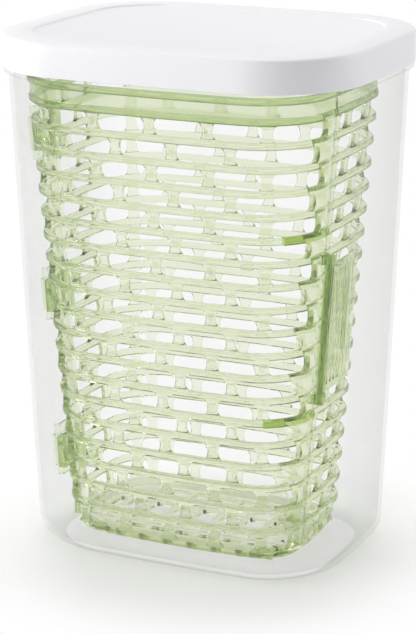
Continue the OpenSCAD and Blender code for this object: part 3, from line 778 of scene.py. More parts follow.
@dataclass
class Pouch:
    """The sachet of grains in the lid: a stitched cushion whose sides pull in between its corners."""

    steps: int = 26
    hem: float = 2.2
    hem_t: float = 0.6
    pull: float = 0.035
    lumps: float = 0.05
    waves: tuple[Point2, ...] = ((9.1, 3.3), (-4.1, 7.7))
    cross_wave: Point2 = (17.0, 15.0)
    fill: float = 0.6
    smooth_angle: float = 60.0

    def height(self, u: float, v: float, half_w: float, half_t: float) -> float:
        """Half thickness at a place from -1 to 1 each way, with lumps where the grains press."""
        edge = 1 - self.hem / half_w
        if max(abs(u), abs(v)) >= edge:
            return self.hem_t / 2
        crown = math.sqrt((1 - (u / edge) ** 4) * (1 - (v / edge) ** 4))
        grains = sum(math.sin(a * u + b * v) for a, b in self.waves)
        grains += math.sin(self.cross_wave[0] * u) * math.sin(self.cross_wave[1] * v)
        lump = 1 - self.lumps + self.lumps * grains / (len(self.waves) + 1)
        return self.hem_t / 2 + (half_t - self.hem_t / 2) * crown * lump

    def build(self) -> None:
        """Builds the cushion in the space of its CAD solid."""
        low, high = (Vector(corner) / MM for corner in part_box("filter_pouch"))
        mid, half = (low + high) / 2, (high - low) / 2
        shares = [2 * i / self.steps - 1 for i in range(self.steps + 1)]
        points: list[Point3] = []
        for side in (1, -1):
            for u in shares:
                for v in shares:
                    x = mid.x + u * half.x * (1 - self.pull * (1 - v * v))
                    y = mid.y + v * half.y * (1 - self.pull * (1 - u * u))
                    points.append((x, y, mid.z + side * self.height(u, v, half.x, half.z)))
        form = new_mesh("pouch_form", points, [], slab_faces(self.steps, self.steps))
        maker = linked("pouch_maker", form)
        rounder = maker.modifiers.new("round", "SUBSURF")
        rounder.levels = 1
        rounder.render_levels = 1
        mesh = plain(maker)
        outward(mesh)
        smooth(mesh, self.smooth_angle)
        piece = place("filter_sachet", mesh, "lid_body", FELT, ("filter_pouch",))


@dataclass
class Site:
    """Where a post stands: its place, its facing in radians and which of its sides flare."""

    x: float
    y: float
    z: float
    facing: float
    flare_left: float = 1.0
    flare_right: float = 1.0


@dataclass
class SideBox:
    """A box on a side wall: hand, height of its middle, and ranges out from, along and up the wall."""

    hand: int
    z: float
    across: Point2
    along: Point2
    up: Point2


@dataclass(frozen=True)
class Bar:
    """A rounded bar along runs of points: its depth, height, edge radius and tints below and above; a deeper
    tint below is painted shade.
    """

    name: str
    runs: list[list[Point3]]
    depth: float
    height: float
    edge_r: float
    tints: Point2


@dataclass(frozen=True)
class LatchSizes:
    """The sizes that the latch, its ears and its catch share."""

    z: float = 130.0
    height: float = 68.0
    reach: float = 36.0
    set_back: float = 4.5
    pin_r: float = 1.1
    bore_fit: float = 0.05
    barrel_r: float = 2.35
    plate_t: float = 1.6
    fit: float = 0.3
    ear_h: float = 5.0
    lip_w: float = 2.0
    play: float = 4.6
    catch_w: float = 3.0


def first_of(line: list[Point3], length: float) -> list[Point3]:
    """The first part of a run, up to a length."""
    kept = [line[0]]
    for p, q in zip(line, line[1:]):
        step = math.dist(p, q)
        if step >= length:
            share = length / step
            return kept + [tuple(a + (b - a) * share for a, b in zip(p, q))]
        length -= step
        kept.append(q)
    return kept


def oblong(x0: float, x1: float, y0: float, y1: float, r: float) -> list[Point2]:
    """An oblong with rounded corners, counter-clockwise.

    Args:
        x0: Low end of x.
        x1: High end of x.
        y0: Low end of y.
        y1: High end of y.
        r: Radius of the corners.

    Returns:
        The points.
    """
    steps = 4
    middles = ((x1 - r, y1 - r), (x0 + r, y1 - r), (x0 + r, y0 + r), (x1 - r, y0 + r))
    points = []
    for q, (x, y) in enumerate(middles):
        turns = [math.pi / 2 * (q + i / steps) for i in range(steps + 1)]
        points += [(x + r * math.cos(t), y + r * math.sin(t)) for t in turns]
    return points


@dataclass
class Basket:
    """The slotted basket: hoops, posts between them, band, rim and floor, on each side of its seam."""

    base_w: float = 135.0
    base_d: float = 88.0
    top_w: float = 167.4
    top_d: float = 133.6
    base_z: float = 6.2
    rim_z: float = 252.0
    corner_r: float = 31.0
    base_r: float = 19.0
    bow: float = 3.6
    dx: float = -2.5
    dy: float = -1.7
    courses: int = 19
    hoop_h: float = 3.4
    hoop_depth: float = 4.0
    hoop_r: float = 0.9
    base_h: float = 5.8
    band_h: float = 11.8
    rim_h: float = 3.4
    base_inset: float = 4.0
    seam_y: float = -20.0
    seam_gap: float = 0.4
    post_waist: float = 5.1
    post_flare: float = 2.2
    post_t: float = 2.2
    post_back: float = 1.0
    post_end: float = 20.0
    post_count: int = 5
    post_shift: float = 12.0
    side_posts: int = 2
    block_w: float = 10.0
    block_step: float = 7.0
    block_t: float = 3.2
    block_tint: float = 0.0
    block_rows: int = 8
    block_columns: int = 6
    bite: float = 1.4
    hoop_round_steps: int = 3
    outline_steps: int = 14
    corner_out: float = 0.5
    band_r: float = 0.3
    rim_r: float = 0.6
    # Tints of each bar's faces that look down and up; where the first is deeper, the difference is painted
    # shade under the bar.
    first_tints: Point2 = (0.62, 0.55)
    hoop_tints: Point2 = (0.1, 0.0)
    base_tints: Point2 = (0.2, 0.0)
    band_tints: Point2 = (0.26, 0.2)
    rim_tints: Point2 = (0.6, 0.5)
    post_chamfer: float = 0.35
    post_rows: int = 11
    # Painted shade on the posts' sides: a deeper tint than on their other faces.
    post_side_shade_tint: float = 0.3
    post_face_tint: float = 0.0
    post_side_from: float = 0.5
    post_outer_from: float = 0.4
    hinge_heights: tuple[float, ...] = (45.5, 131.5, 217.5)
    hinge_y: float = -29.0
    seat_w: float = 10.0
    seat_h: float = 17.0
    seat_out: float = 0.55
    seat_short: float = 0.6
    plate_w: float = 9.0
    plate_h: float = 28.0
    arm_fit: float = 0.5
    seat_tint: float = 0.7
    tongue_courses: tuple[int, ...] = (5, 13)
    tongue_l: float = 31.0
    tongue_more: float = 0.5
    tongue_tint: float = 1.1
    latch: LatchSizes = LatchSizes()

    @property
    def first_z(self) -> float:
        """Height of the first hoop's middle."""
        return self.rim_z - self.band_h

    @property
    def pitch(self) -> float:
        """Spacing of the hoops."""
        return (self.first_z - self.base_z - self.base_h + self.hoop_h / 2) / self.courses

    @property
    def lean(self) -> float:
        """Lean of the side walls in radians."""
        return math.atan((self.top_w - self.base_w) / 2 / (self.rim_z - self.base_z))

    @property
    def arm_in(self) -> float:
        """Distance from a side wall's line at which hinge arms and latch clear its hoops."""
        return self.hoop_h * math.tan(self.lean) + self.arm_fit

    def radius(self, z: float) -> float:
        """Radius of the corners at a height."""
        share = (z - self.base_z) / (self.rim_z - self.base_z)
        return self.base_r + (self.corner_r - self.base_r) * share

    def size(self, z: float) -> Point2:
        """Width and depth over the hoops at a height."""
        share = (z - self.base_z) / (self.rim_z - self.base_z)
        w = self.base_w + (self.top_w - self.base_w) * share
        d = self.base_d + (self.top_d - self.base_d) * share
        return (w, d)

    def run(self, side: Side, z: float, inset: float) -> list[Point3]:
        """One side's run of the outline at a height, drawn in by an inset."""
        w, d = self.size(z)
        r, steps = self.radius(z) - inset, self.outline_steps
        ring = rounded_outline(w - 2 * inset, d - 2 * inset, r, self.bow, steps, steps)
        level = self.seam_y + side.value * self.seam_gap / 2
        return [(x + self.dx, y + self.dy, z) for x, y in clipped(ring, level, side is Side.DOOR)]

    def paths(self, runs: list[list[Point3]]) -> bpy.types.Mesh:
        """A mesh of edges along runs of points."""
        points: list[Point3] = []
        edges = []
        for line in runs:
            start = len(points)
            points += line
            edges += [(start + i, start + i + 1) for i in range(len(line) - 1)]
        return new_mesh("basket_paths", points, edges, [])

    def hoop_tree(self) -> bpy.types.NodeTree:
        """The geometry tree that sweeps a rounded bar along each path.

        Returns:
            The tree, which also paints shade on the faces that look down: they get a deeper tint than the
            faces that look up.
        """
        inputs = {"Geometry": GEOMETRY, "Depth": FLOAT, "Height": FLOAT, "Edge Radius": FLOAT,
                  "Shaded Underside Tint": FLOAT, "Lit Top Tint": FLOAT, "Material": MATERIAL}
        tree = new_tree("Basket hoops", TREE, inputs, {"Geometry": GEOMETRY})
        plan = Plan(tree)
        given = plan.node("NodeGroupInput").outputs
        path = plan.node("GeometryNodeMeshToCurve", {"Mesh": given["Geometry"]})
        upright = plan.node("GeometryNodeSetCurveNormal", {"Curve": path.outputs[0]}, mode="Z_UP")
        bar = plan.node("GeometryNodeCurvePrimitiveQuadrilateral", {"Width": given["Depth"],
                                                                    "Height": given["Height"]})
        soft = plan.node("GeometryNodeFilletCurve", mode="POLY")
        for name, value in (("Curve", bar.outputs[0]), ("Radius", given["Edge Radius"]),
                            ("Count", self.hoop_round_steps)):
            plan.wire(soft.inputs[name], value)
        swept = plan.node("GeometryNodeCurveToMesh", {"Curve": upright.outputs[0], "Fill Caps": True,
                                                      "Profile Curve": soft.outputs[0]})
        # Painted shade: faces that look down get the deeper first tint, and faces that look up get the paler
        # second one.
        facing = plan.node("GeometryNodeInputNormal").outputs[0]
        up = plan.node("ShaderNodeSeparateXYZ", {"Vector": facing}).outputs["Z"]
        share = plan.node("ShaderNodeMapRange", {"Value": up, "From Min": -1.0, "From Max": 1.0,
                                                 "To Min": given["Shaded Underside Tint"], "To Max": given["Lit Top Tint"]})
        marked = plan.store(swept.outputs[0], "tint", share.outputs[0], "FACE")
        plan.give(plan.realized(marked), given["Material"])
        return tree

    def post_tree(self) -> bpy.types.NodeTree:
        """The geometry tree that stands a waisted post on each site.

        Returns:
            The tree, which reads each site's facing and flares from its attributes.
        """
        inputs = {"Geometry": GEOMETRY, "Slot Height": FLOAT, "Half Width": FLOAT, "Bite": FLOAT,
                  "Flare": FLOAT, "Thickness": FLOAT, "Chamfer": FLOAT, "Lean": FLOAT,
                  "Rows": "NodeSocketInt", "Side Shade Tint": FLOAT, "Face Tint": FLOAT, "Material": MATERIAL}
        tree = new_tree("Basket posts", TREE, inputs, {"Geometry": GEOMETRY})
        plan = Plan(tree)
        math_ = plan.math
        given = plan.node("NodeGroupInput").outputs
        cell = plan.node("GeometryNodeMeshCube", {"Vertices X": 4, "Vertices Y": 2,
                                                  "Vertices Z": given["Rows"]})
        normal = plan.node("GeometryNodeInputNormal").outputs[0]
        facing = plan.node("ShaderNodeSeparateXYZ", {"Vector": normal})
        # Painted shade: the post's sides, which face along the wall, get a deeper tint than its other faces.
        sideways = math_("GREATER_THAN", math_("ABSOLUTE", facing.outputs["X"]), self.post_side_from)
        tint = plan.blend(sideways, given["Face Tint"], given["Side Shade Tint"])
        marked = plan.store(cell.outputs[0], "tint", tint, "FACE")
        here = plan.node("GeometryNodeInputPosition").outputs[0]
        kept = plan.store(marked, "cell", here, "POINT", "FLOAT_VECTOR")
        sites = plan.store(given["Geometry"], "site", here, "POINT", "FLOAT_VECTOR")
        stood = plan.node("GeometryNodeInstanceOnPoints", {"Points": sites, "Instance": kept})
        whole = plan.realized(stood.outputs[0])
        own = plan.node("ShaderNodeSeparateXYZ", {"Vector": plan.named("cell", "FLOAT_VECTOR")}).outputs
        height = math_("MULTIPLY_ADD", given["Bite"], 2.0, given["Slot Height"])
        z = math_("MULTIPLY", own["Z"], height)
        rise = math_("DIVIDE", z, math_("MULTIPLY", given["Slot Height"], 0.5))
        share = math_("MINIMUM", math_("ABSOLUTE", rise), 1.0)
        level = math_("SQRT", math_("SUBTRACT", 1.0, math_("MULTIPLY", share, share)))
        round_off = math_("SUBTRACT", 1.0, level)
        flare = math_("MULTIPLY", round_off, given["Flare"])
        right = math_("GREATER_THAN", own["X"], 0.0)
        halves = [math_("MULTIPLY_ADD", flare, plan.named(f"flare_{hand}"), given["Half Width"])
                  for hand in ("left", "right")]
        half = plan.blend(right, *halves)
        outer = math_("GREATER_THAN", math_("ABSOLUTE", own["X"]), self.post_outer_from)
        corner = math_("MULTIPLY", given["Chamfer"], outer)
        inner = math_("MULTIPLY", given["Chamfer"], math_("SUBTRACT", 1.0, outer))
        x = math_("MULTIPLY", math_("SIGN", own["X"]), math_("SUBTRACT", half, inner))
        front = math_("GREATER_THAN", own["Y"], 0.0)
        depth = plan.blend(front, corner, math_("SUBTRACT", given["Thickness"], corner))
        out = math_("SUBTRACT", math_("MULTIPLY", z, given["Lean"]), depth)
        turn = plan.named("facing")
        cos, sin = math_("COSINE", turn), math_("SINE", turn)
        shift_x = math_("SUBTRACT", math_("MULTIPLY", out, cos), math_("MULTIPLY", x, sin))
        shift_y = math_("MULTIPLY_ADD", x, cos, math_("MULTIPLY", out, sin))
        shift = plan.node("ShaderNodeCombineXYZ", {"X": shift_x, "Y": shift_y, "Z": z})
        spot = plan.node("ShaderNodeVectorMath", operation="ADD")
        plan.wire(spot.inputs[0], plan.named("site", "FLOAT_VECTOR"))
        plan.wire(spot.inputs[1], shift.outputs[0])
        set_out = plan.node("GeometryNodeSetPosition", {"Geometry": whole, "Position": spot.outputs[0]})
        plan.give(set_out.outputs[0], given["Material"])
        return tree

    def reach(self, half: float, across: float, other_half: float) -> float:
        """Distance of a bowed wall from the basket's middle at a place across it."""
        return half - self.bow * (across / (other_half - self.bow)) ** 2

    def long_wall(self, along: float, z: float) -> Point3:
        """A place along a long wall and on into its corner.

        Args:
            along: Distance along the wall from its middle.
            z: Height.

        Returns:
            Place across, distance out from the middle, and turn in radians.
        """
        w, d = self.size(z)
        r = self.radius(z)
        flat = w / 2 - self.bow - r
        turn = max(abs(along) - flat, 0) / r
        across = min(abs(along), flat) + r * math.sin(turn)
        out = self.reach(d / 2, across, w / 2) - r * (1 - math.cos(turn))
        return (math.copysign(across, along), out, math.copysign(turn, along))

    def course_z(self, k: int) -> float:
        """Height of the middle of a course of slots."""
        return self.first_z - (k + 0.5) * self.pitch

    def sites(self, side: Side) -> list[Site]:
        """The posts of every course on one side of the seam."""
        found = []
        half = self.post_waist / 2
        spacing = (self.top_w - 2 * self.post_end) / (self.post_count - 1)
        for k in range(self.courses):
            z, odd = self.course_z(k), k % 2
            w, d = self.size(z)
            for i in range(self.post_count - odd):
                along = self.post_end - self.top_w / 2 + i * spacing + odd * self.post_shift
                x, y, turn = self.long_wall(along * w / self.top_w, z)
                found.append(Site(x, side.value * y, z, side.value * (math.pi / 2 - turn)))
            if side is Side.DOOR:
                continue
            corner = self.radius(z) * (1 - math.sqrt(0.5))
            flat = d / 2 - self.radius(z)
            step = (flat - self.seam_y - 2 * half) / self.side_posts
            for hand in (-1, 1):
                turn = 0 if hand > 0 else math.pi
                x, y = (size / 2 - self.bow - corner + self.corner_out for size in (w, d))
                found.append(Site(hand * x, y, z, math.pi / 2 - hand * math.pi / 4))
                at_seam = self.seam_y + self.seam_gap / 2 + half
                flares = (0.0, 1.0) if hand > 0 else (1.0, 0.0)
                x = hand * self.reach(w / 2, at_seam, d / 2)
                found.append(Site(x, at_seam, z, turn, *flares))
                for i in range(self.side_posts - odd):
                    across = self.seam_y + 2 * half + (i + 0.5 + odd / 2) * step
                    found.append(Site(hand * self.reach(w / 2, across, d / 2), across, z, turn))
        return found

    def site_mesh(self, sites: list[Site]) -> bpy.types.Mesh:
        """A mesh of points with each site's facing and flares as attributes."""
        spots = []
        for site in sites:
            back_x, back_y = self.post_back * math.cos(site.facing), self.post_back * math.sin(site.facing)
            spots.append((site.x - back_x + self.dx, site.y - back_y + self.dy, site.z))
        mesh = new_mesh("basket_sites", spots, [], [])
        for name in ("facing", "flare_left", "flare_right"):
            values = mesh.attributes.new(name, "FLOAT", "POINT").data
            values.foreach_set("value", [getattr(site, name) for site in sites])
        return mesh

    def block(self, hand: int, k: int) -> list[Point3]:
        """The solid wall of one course beside the seam, with the round end of the slot that it closes.

        Args:
            hand: 1 on the right, -1 on the left.
            k: Number of the course.

        Returns:
            Points of the closed block, its outer layer first.
        """
        z = self.course_z(k)
        slot = (self.pitch - self.hoop_h) / 2
        length = self.block_w + (k % 2) * self.block_step
        points: list[Point3] = []
        for depth in (self.post_back, self.post_back + self.block_t):
            line = self.run(Side.DOOR, z, depth)[::-hand]
            for i in range(self.block_rows + 1):
                height = (2 * i / self.block_rows - 1) * (slot + self.bite)
                share = min(abs(height) / slot, 1)
                end = length - self.post_flare * math.sqrt(1 - share * share)
                for j in range(self.block_columns + 1):
                    x, y, _ = first_of(line, end * j / self.block_columns)[-1]
                    points.append((x, y, z + height))
        return points

    def blocks(self) -> bpy.types.Mesh:
        """The solid walls beside the seam on the door."""
        own_faces = slab_faces(self.block_rows, self.block_columns)
        points: list[Point3] = []
        faces: list[Face] = []
        for hand in (-1, 1):
            for k in range(self.courses):
                faces += [tuple(len(points) + v for v in face) for face in own_faces]
                points += self.block(hand, k)
        mesh = new_mesh("basket_blocks", points, [], faces)
        outward(mesh)
        tinted(mesh, self.block_tint)
        return mesh

    def side_box(self, box: SideBox) -> bpy.types.Mesh:
        """A box on a side wall, which leans with the wall."""
        points = [(x, y, z) for x in box.across for y in box.along for z in box.up]
        faces = [(0, 1, 3, 2), (4, 6, 7, 5), (0, 4, 5, 1), (2, 3, 7, 6), (0, 2, 6, 4), (1, 5, 7, 3)]
        mesh = new_mesh("basket_seat", points, [], faces)
        self.on_wall(mesh, box.hand, box.z)
        tinted(mesh, self.seat_tint)
        return mesh

    def on_wall(self, mesh: bpy.types.Mesh, hand: int, z: float) -> None:
        """Moves a mesh from a side wall's own frame, out, along and up the wall, to its place.

        Args:
            mesh: The mesh.
            hand: 1 for the right wall, -1 for the left.
            z: Height of the frame's middle.
        """
        w, _ = self.size(z)
        turn = Matrix.Rotation(self.lean, 4, "Y")
        flip = Matrix.Scale(hand, 4, (1, 0, 0))
        place_at = Matrix.Translation(Vector((hand * w / 2 + self.dx, self.dy, z)) * MM)
        mesh.transform(place_at @ flip @ turn)
        outward(mesh)

    def floor(self, node: str) -> bpy.types.Mesh:
        """The slotted floor and its feet, merged from a CAD node."""
        mesh = merged(node)
        tinted(mesh, self.block_tint)
        return mesh

    def bars(self, side: Side) -> list[Bar]:
        """The hoops, band, rim and tongues on one side of the seam."""
        depth = self.hoop_depth
        middle = depth / 2
        band = self.band_h - self.rim_h / 2
        hoops = [self.run(side, self.first_z - k * self.pitch, middle) for k in range(self.courses)]
        base = self.run(side, self.base_z + self.base_h / 2, self.base_inset + middle)
        wall = self.run(side, self.first_z + band / 2, self.post_back + self.post_t / 2)
        rim = self.run(side, self.rim_z - self.rim_h / 2, middle)
        found = [Bar("first", hoops[:1], depth, self.hoop_h, self.hoop_r, self.first_tints),
                 Bar("hoops", hoops[1:], depth, self.hoop_h, self.hoop_r, self.hoop_tints),
                 Bar("base", [base], depth, self.base_h, self.hoop_r, self.base_tints),
                 Bar("band", [wall], self.post_t, band, self.band_r, self.band_tints),
                 Bar("rim", [rim], depth, self.rim_h, self.rim_r, self.rim_tints)]
        if side is Side.DOOR:
            runs = [first_of(hoops[k][::-1], self.tongue_l) for k in self.tongue_courses]
            tints = (self.tongue_tint, self.tongue_tint)
            found.append(Bar("tongues", runs, depth + self.tongue_more, self.hoop_h + self.tongue_more,
                             self.hoop_r, tints))
        return found

    def half(self, side: Side, hoops: bpy.types.NodeTree, posts: bpy.types.NodeTree) -> list[bpy.types.Mesh]:
        """The walls of the basket on one side of its seam.

        Args:
            side: The side.
            hoops: Geometry tree of the bars.
            posts: Geometry tree of the posts.

        Returns:
            Closed meshes to fuse.
        """
        green = GREEN.material()
        meshes = []
        for bar in self.bars(side):
            values = {"Depth": bar.depth * MM, "Height": bar.height * MM, "Edge Radius": bar.edge_r * MM,
                      "Shaded Underside Tint": bar.tints[0], "Lit Top Tint": bar.tints[1], "Material": green}
            meshes.append(shaped(bar.name, self.paths(bar.runs), hoops, values))
        lean = (self.top_d - self.base_d) / 2 / (self.rim_z - self.base_z)
        values = {"Slot Height": (self.pitch - self.hoop_h) * MM, "Half Width": self.post_waist / 2 * MM,
                  "Bite": self.bite * MM, "Flare": self.post_flare * MM, "Thickness": self.post_t * MM,
                  "Chamfer": self.post_chamfer * MM, "Lean": lean, "Rows": self.post_rows,
                  "Side Shade Tint": self.post_side_shade_tint, "Face Tint": self.post_face_tint, "Material": green}
        meshes.append(shaped("posts", self.site_mesh(self.sites(side)), posts, values))
        if side is Side.DOOR:
            meshes.append(self.blocks())
        return meshes

    def build(self) -> None:
        """Builds both halves of the basket and puts them in place."""
        hoops, posts = self.hoop_tree(), self.post_tree()
        for side, name, body, nodes, floor in (
                (Side.BACK, "basket_shell", "basket_body",
                 ("basket_back", "basket_corner_left", "basket_corner_right", "basket_left", "basket_right",
                  "basket_floor", "latch_catch"), "basket_floor"),
                (Side.DOOR, "door_shell", "door_body",
                 ("basket_door", "door_corner_left", "door_corner_right", "door_left", "door_right",
                  "door_floor"), "door_floor")):
            meshes = self.half(side, hoops, posts) + [self.floor(floor)]
            meshes += [self.side_box(box) for box in self.seats(side)]
            mesh = united(name, meshes)
            smooth(mesh, SMOOTH_ANGLE)
            place(name, mesh, body, GREEN, nodes)

    def seats(self, side: Side) -> list[SideBox]:
        """The seats of the hinges and of the latch on one side of the seam."""
        latch = self.latch
        inside = self.seat_short - self.hoop_depth
        if side is Side.DOOR:
            along = (self.hinge_y - self.seat_w / 2, self.hinge_y + self.seat_w / 2)
            seat = SideBox(-1, 0.0, (inside, self.seat_out), along, (-self.seat_h / 2, self.seat_h / 2))
        else:
            along = (self.seam_y + self.seam_gap, self.seam_y + self.seam_gap + self.plate_w)
            seat = SideBox(-1, 0.0, (inside, self.arm_in), along, (-self.plate_h / 2, self.plate_h / 2))
        found = [replace(seat, z=z) for z in self.hinge_heights]
        pin_y = self.seam_y - latch.set_back
        if side is Side.DOOR:
            low = latch.height / 2 + latch.fit
            high = low + latch.ear_h
            along = (pin_y - latch.barrel_r - self.bite / 2, pin_y + latch.barrel_r + self.bite / 2)
            found += [SideBox(1, latch.z, (inside, self.arm_in), along, up)
                      for up in ((low, high), (-high, -low))]
        else:
            catch_y = pin_y + latch.reach - latch.lip_w - latch.play - latch.catch_w
            out = self.arm_in + latch.barrel_r - latch.plate_t / 2 - self.arm_fit
            found.append(SideBox(1, latch.z, (inside, out), (catch_y, catch_y + latch.catch_w),
                                 (-latch.height / 4, latch.height / 4)))
        return found


@dataclass
class Hinges:
    """The three hinge bars on the basket and the clips on its door."""

    places: tuple[str, ...] = ("lower", "middle", "upper")
    edge_r: float = 0.25

    def build(self) -> None:
        """Builds the bars and clips with softened edges."""
        for spot in self.places:
            soften(f"hinge_bar_{spot}", "basket_body", GREEN, self.edge_r)
            soften(f"hinge_clip_{spot}", "door_body", GREEN, self.edge_r)


@dataclass
class Latch:
    """The latch: a ribbed plate on a barrel, a lip behind the catch, and the ears and pin that hold it."""

    basket: Basket
    rib_gap: float = 4.6
    rib_w: float = 1.7
    rib_out: float = 0.9
    rib_short: float = 4.0
    ribs: int = 6
    soft_r: float = 0.4
    soft_share: float = 0.3
    steps: int = 28
    barrel_tint: float = 0.7
    plate_tint: float = 0.0
    rib_tint: float = 0.15

    def upright(self, name: str, plan: list[Point2], height: float, tint: float) -> bpy.types.Mesh:
        """A bar of one plan up the wall, with its ends drawn in.

        Args:
            name: Name of the mesh.
            plan: Outline as out from and along the wall.
            height: Length of the bar.
            tint: Its tint.

        Returns:
            The closed mesh in the wall's frame.
        """
        mid_x = sum(x for x, _ in plan) / len(plan)
        mid_y = sum(y for _, y in plan) / len(plan)

        def nearer(value: float, middle: float, by: float) -> float:
            """A value moved towards a middle, and not past it."""
            return value - math.copysign(min(by, abs(value - middle)), value - middle)

        def drawn(by: float) -> list[Point2]:
            """The plan with every point moved in towards its middle."""
            return [(nearer(x, mid_x, by), nearer(y, mid_y, by)) for x, y in plan]

        end, r = height / 2, self.soft_r
        part = r * self.soft_share
        half = [(drawn(r), end), (drawn(part), end - part), (plan, end - r)]
        mesh = loft(name, [(ring, -z) for ring, z in half] + half[::-1])
        tinted(mesh, tint)
        return mesh

    def barrel(self, out: float, along: float) -> bpy.types.Mesh:
        """The tube round the pin."""
        latch = self.basket.latch

        def ring(r: float) -> list[Point2]:
            """A circle about the pin."""
            turns = [math.tau * i / self.steps for i in range(self.steps)]
            return [(out + r * math.cos(t), along + r * math.sin(t)) for t in turns]

        end, outer, inner = latch.height / 2, latch.barrel_r, latch.pin_r + latch.bore_fit
        soft = self.soft_r
        half = [(ring(inner), end), (ring(outer - soft), end), (ring(outer), end - soft)]
        mesh = loft("latch_barrel", [(points, -z) for points, z in half] + half[::-1], closed=True)
        tinted(mesh, self.barrel_tint)
        return mesh

    def rib_tree(self) -> bpy.types.NodeTree:
        """The geometry tree that repeats a rib along the plate.

        Returns:
            The tree, whose input geometry is one rib at the first place.
        """
        inputs = {"Geometry": GEOMETRY, "Count": "NodeSocketInt", "Spacing": FLOAT, "Material": MATERIAL}
        tree = new_tree("Latch ribs", TREE, inputs, {"Geometry": GEOMETRY})
        plan = Plan(tree)
        given = plan.node("NodeGroupInput").outputs
        step = plan.node("ShaderNodeCombineXYZ", {"Y": given["Spacing"]})
        row = plan.node("GeometryNodeMeshLine", mode="OFFSET")
        for name, value in (("Count", given["Count"]), ("Offset", step.outputs[0])):
            plan.wire(row.inputs[name], value)
        stood = plan.node("GeometryNodeInstanceOnPoints", {"Points": row.outputs[0],
                                                           "Instance": given["Geometry"]})
        plan.give(plan.realized(stood.outputs[0]), given["Material"])
        return tree

    def build(self) -> None:
        """Builds the latch, softens its ears and gives its pin a finish."""
        basket = self.basket
        latch = basket.latch
        pin_y = basket.seam_y - latch.set_back
        out = basket.arm_in + latch.barrel_r
        face, back = out - latch.plate_t / 2, out + latch.plate_t / 2
        end_y = pin_y + latch.reach
        wall_mid = (latch.barrel_r + latch.pin_r) / 2
        lip_x = basket.arm_in + basket.arm_fit / 2
        soft = self.soft_r
        sheet = oblong(face, back, pin_y + wall_mid, end_y, soft)
        plate = self.upright("latch_sheet", sheet, latch.height, self.plate_tint)
        edge = oblong(lip_x, back, end_y - latch.lip_w, end_y, soft)
        lip = self.upright("latch_lip", edge, latch.height, self.plate_tint)
        first = pin_y + latch.barrel_r + self.rib_gap / 2
        strip = oblong(face + soft, back + self.rib_out, first, first + self.rib_w, soft)
        rib = self.upright("latch_rib", strip, latch.height - 2 * self.rib_short, self.rib_tint)
        values = {"Count": self.ribs, "Spacing": self.rib_gap * MM, "Material": LATCH_GREEN.material()}
        ribs = shaped("latch_ribs", rib, self.rib_tree(), values)
        mesh = united("latch", [plate, lip, ribs, self.barrel(out, pin_y)])
        basket.on_wall(mesh, 1, latch.z)
        smooth(mesh, SMOOTH_ANGLE)
        place("latch", mesh, "latch_body", LATCH_GREEN, ("latch_plate",))
        soften("latch_bracket", "door_body", LATCH_GREEN, self.soft_r, self.barrel_tint)
        dress("latch_pin", LATCH_GREEN)


@dataclass(frozen=True)
class Lamp:
    """A soft square lamp: its place and size in metres, and its power in watts."""

    name: str
    spot: Point3
    size: float
    power: float


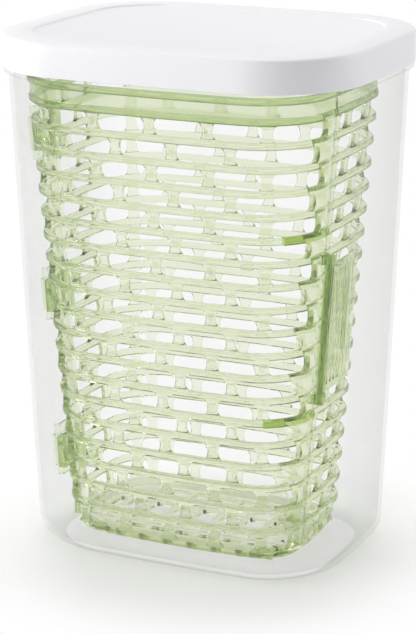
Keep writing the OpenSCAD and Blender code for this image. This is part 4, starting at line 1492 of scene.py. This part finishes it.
@dataclass
class Studio:
    """The floor, the light and the camera; places, and where the floor turns white, are in metres."""

    target: Point3 = (0.0, 0.0, 0.137)
    azimuth: float = 25.357
    elevation: float = 15.353
    distance: float = 1.185703
    focal_px: float = 2258.884
    middle_px: Point2 = (210.084, 286.65)
    frame_px: Point2 = (416.0, 634.0)
    sensor_mm: float = 36.0
    lamps: tuple[Lamp, ...] = (Lamp("key", (-1.65, -1.4, 0.7), 1.2, 31.0),
                               Lamp("side", (1.6, 1.0, 0.6), 1.0, 9.0),
                               Lamp("top", (-0.2, 0.35, 1.7), 0.9, 9.0))
    ambient: float = 0.42
    floor_half: float = 4000.0
    floor_pale: Colour = tone(242, 242, 242)
    floor_deep: Colour = tone(238, 238, 238)
    floor_cloud: float = 3.0
    floor_roughness: float = 0.5
    glow: float = 0.21
    white_from: float = 0.085
    white_to: float = 0.168
    bounces: int = 32
    clear_bounces: int = 96

    def build(self) -> None:
        """Builds the studio."""
        self.world()
        self.floor()
        for lamp in self.lamps:
            self.light(lamp)
        self.camera()
        scene = bpy.context.scene
        scene.view_settings.view_transform = "Standard"
        scene.cycles.use_denoising = True
        scene.cycles.max_bounces = self.bounces
        scene.cycles.transmission_bounces = self.bounces
        scene.cycles.transparent_max_bounces = self.clear_bounces

    def seen(self, plan: Plan) -> bpy.types.NodeSocket:
        """1 for what the camera sees, straight, mirrored or through clear plastic."""
        path = plan.node("ShaderNodeLightPath").outputs
        through = plan.math("MAXIMUM", path["Is Glossy Ray"], path["Is Transmission Ray"])
        return plan.math("MAXIMUM", path["Is Camera Ray"], through)

    def world(self) -> None:
        """A white surround for what the camera sees, with softer light on the object."""
        world = bpy.data.worlds.new("studio")
        bpy.context.scene.world = world
        world.use_nodes = True
        plan = Plan(world.node_tree)
        back = world.node_tree.nodes["Background"]
        plan.wire(back.inputs["Color"], WHITE)
        plan.wire(back.inputs["Strength"], plan.blend(self.seen(plan), self.ambient, 1.0))

    def floor(self) -> None:
        """A plain pale floor that keeps the shadow and turns white away from the object."""
        a = self.floor_half
        mesh = new_mesh("floor", [(-a, -a, 0), (a, -a, 0), (a, a, 0), (-a, a, 0)], [], [(0, 1, 2, 3)])
        plan, shader = new_material("floor")
        spot = plan.node("ShaderNodeTexCoord").outputs["Object"]
        cloud = plan.node("ShaderNodeTexNoise", {"Vector": spot, "Scale": self.floor_cloud}).outputs[0]
        plan.wire(shader.inputs["Base Color"], plan.mix(cloud, self.floor_deep, self.floor_pale))
        shader.inputs["Roughness"].default_value = self.floor_roughness
        plan.wire(shader.inputs["Emission Color"], WHITE)
        seen = self.seen(plan)
        plan.wire(shader.inputs["Emission Strength"], plan.math("MULTIPLY", seen, self.glow))
        away = plan.node("ShaderNodeVectorMath", {"Vector": spot}, operation="LENGTH").outputs["Value"]
        far = plan.node("ShaderNodeMapRange", {"Value": away, "From Min": self.white_from,
                                               "From Max": self.white_to}, interpolation_type="SMOOTHSTEP")
        white = plan.node("ShaderNodeEmission", {"Color": WHITE, "Strength": 1.0})
        fade = plan.node("ShaderNodeMixShader")
        ends = (plan.math("MULTIPLY", seen, far.outputs[0]), shader.outputs[0], white.outputs[0])
        for socket, value in zip(fade.inputs, ends):
            plan.wire(socket, value)
        plan.wire(plan.tree.nodes["Material Output"].inputs["Surface"], fade.outputs[0])
        mesh.materials.append(bpy.data.materials["floor"])
        linked("floor", mesh)

    def light(self, lamp: Lamp) -> None:
        """Adds a soft lamp that looks at the object."""
        light = bpy.data.lights.new(lamp.name, "AREA")
        light.size = lamp.size
        light.energy = lamp.power
        stood = linked(lamp.name, light)
        stood.location = lamp.spot
        aim = Vector(self.target) - Vector(lamp.spot)
        stood.rotation_euler = aim.to_track_quat("-Z", "Y").to_euler()

    def camera(self) -> None:
        """Sets the camera at the photograph's view."""
        turn, lift = math.radians(self.azimuth), math.radians(self.elevation)
        way = Vector((math.sin(turn) * math.cos(lift), -math.cos(turn) * math.cos(lift), math.sin(lift)))
        view = bpy.data.cameras.new("camera")
        view.sensor_fit = "VERTICAL"
        view.sensor_height = self.sensor_mm
        view.lens = self.focal_px * self.sensor_mm / self.frame_px[1]
        view.shift_x = (self.frame_px[0] / 2 - self.middle_px[0]) / self.frame_px[1]
        view.shift_y = (self.middle_px[1] - self.frame_px[1] / 2) / self.frame_px[1]
        camera = linked("camera", view)
        camera.location = Vector(self.target) + way * self.distance
        camera.rotation_euler = (-way).to_track_quat("-Z", "Y").to_euler()
        bpy.context.scene.camera = camera


def main() -> None:
    """Builds the produce keeper, its light and its camera."""
    logging.basicConfig(level=logging.INFO, format="%(message)s")
    Studio().build()
    Container().build()
    Lid().build()
    Pouch().build()
    basket = Basket()
    basket.build()
    Hinges().build()
    Latch(basket).build()


if __name__ == "__main__":
    main()
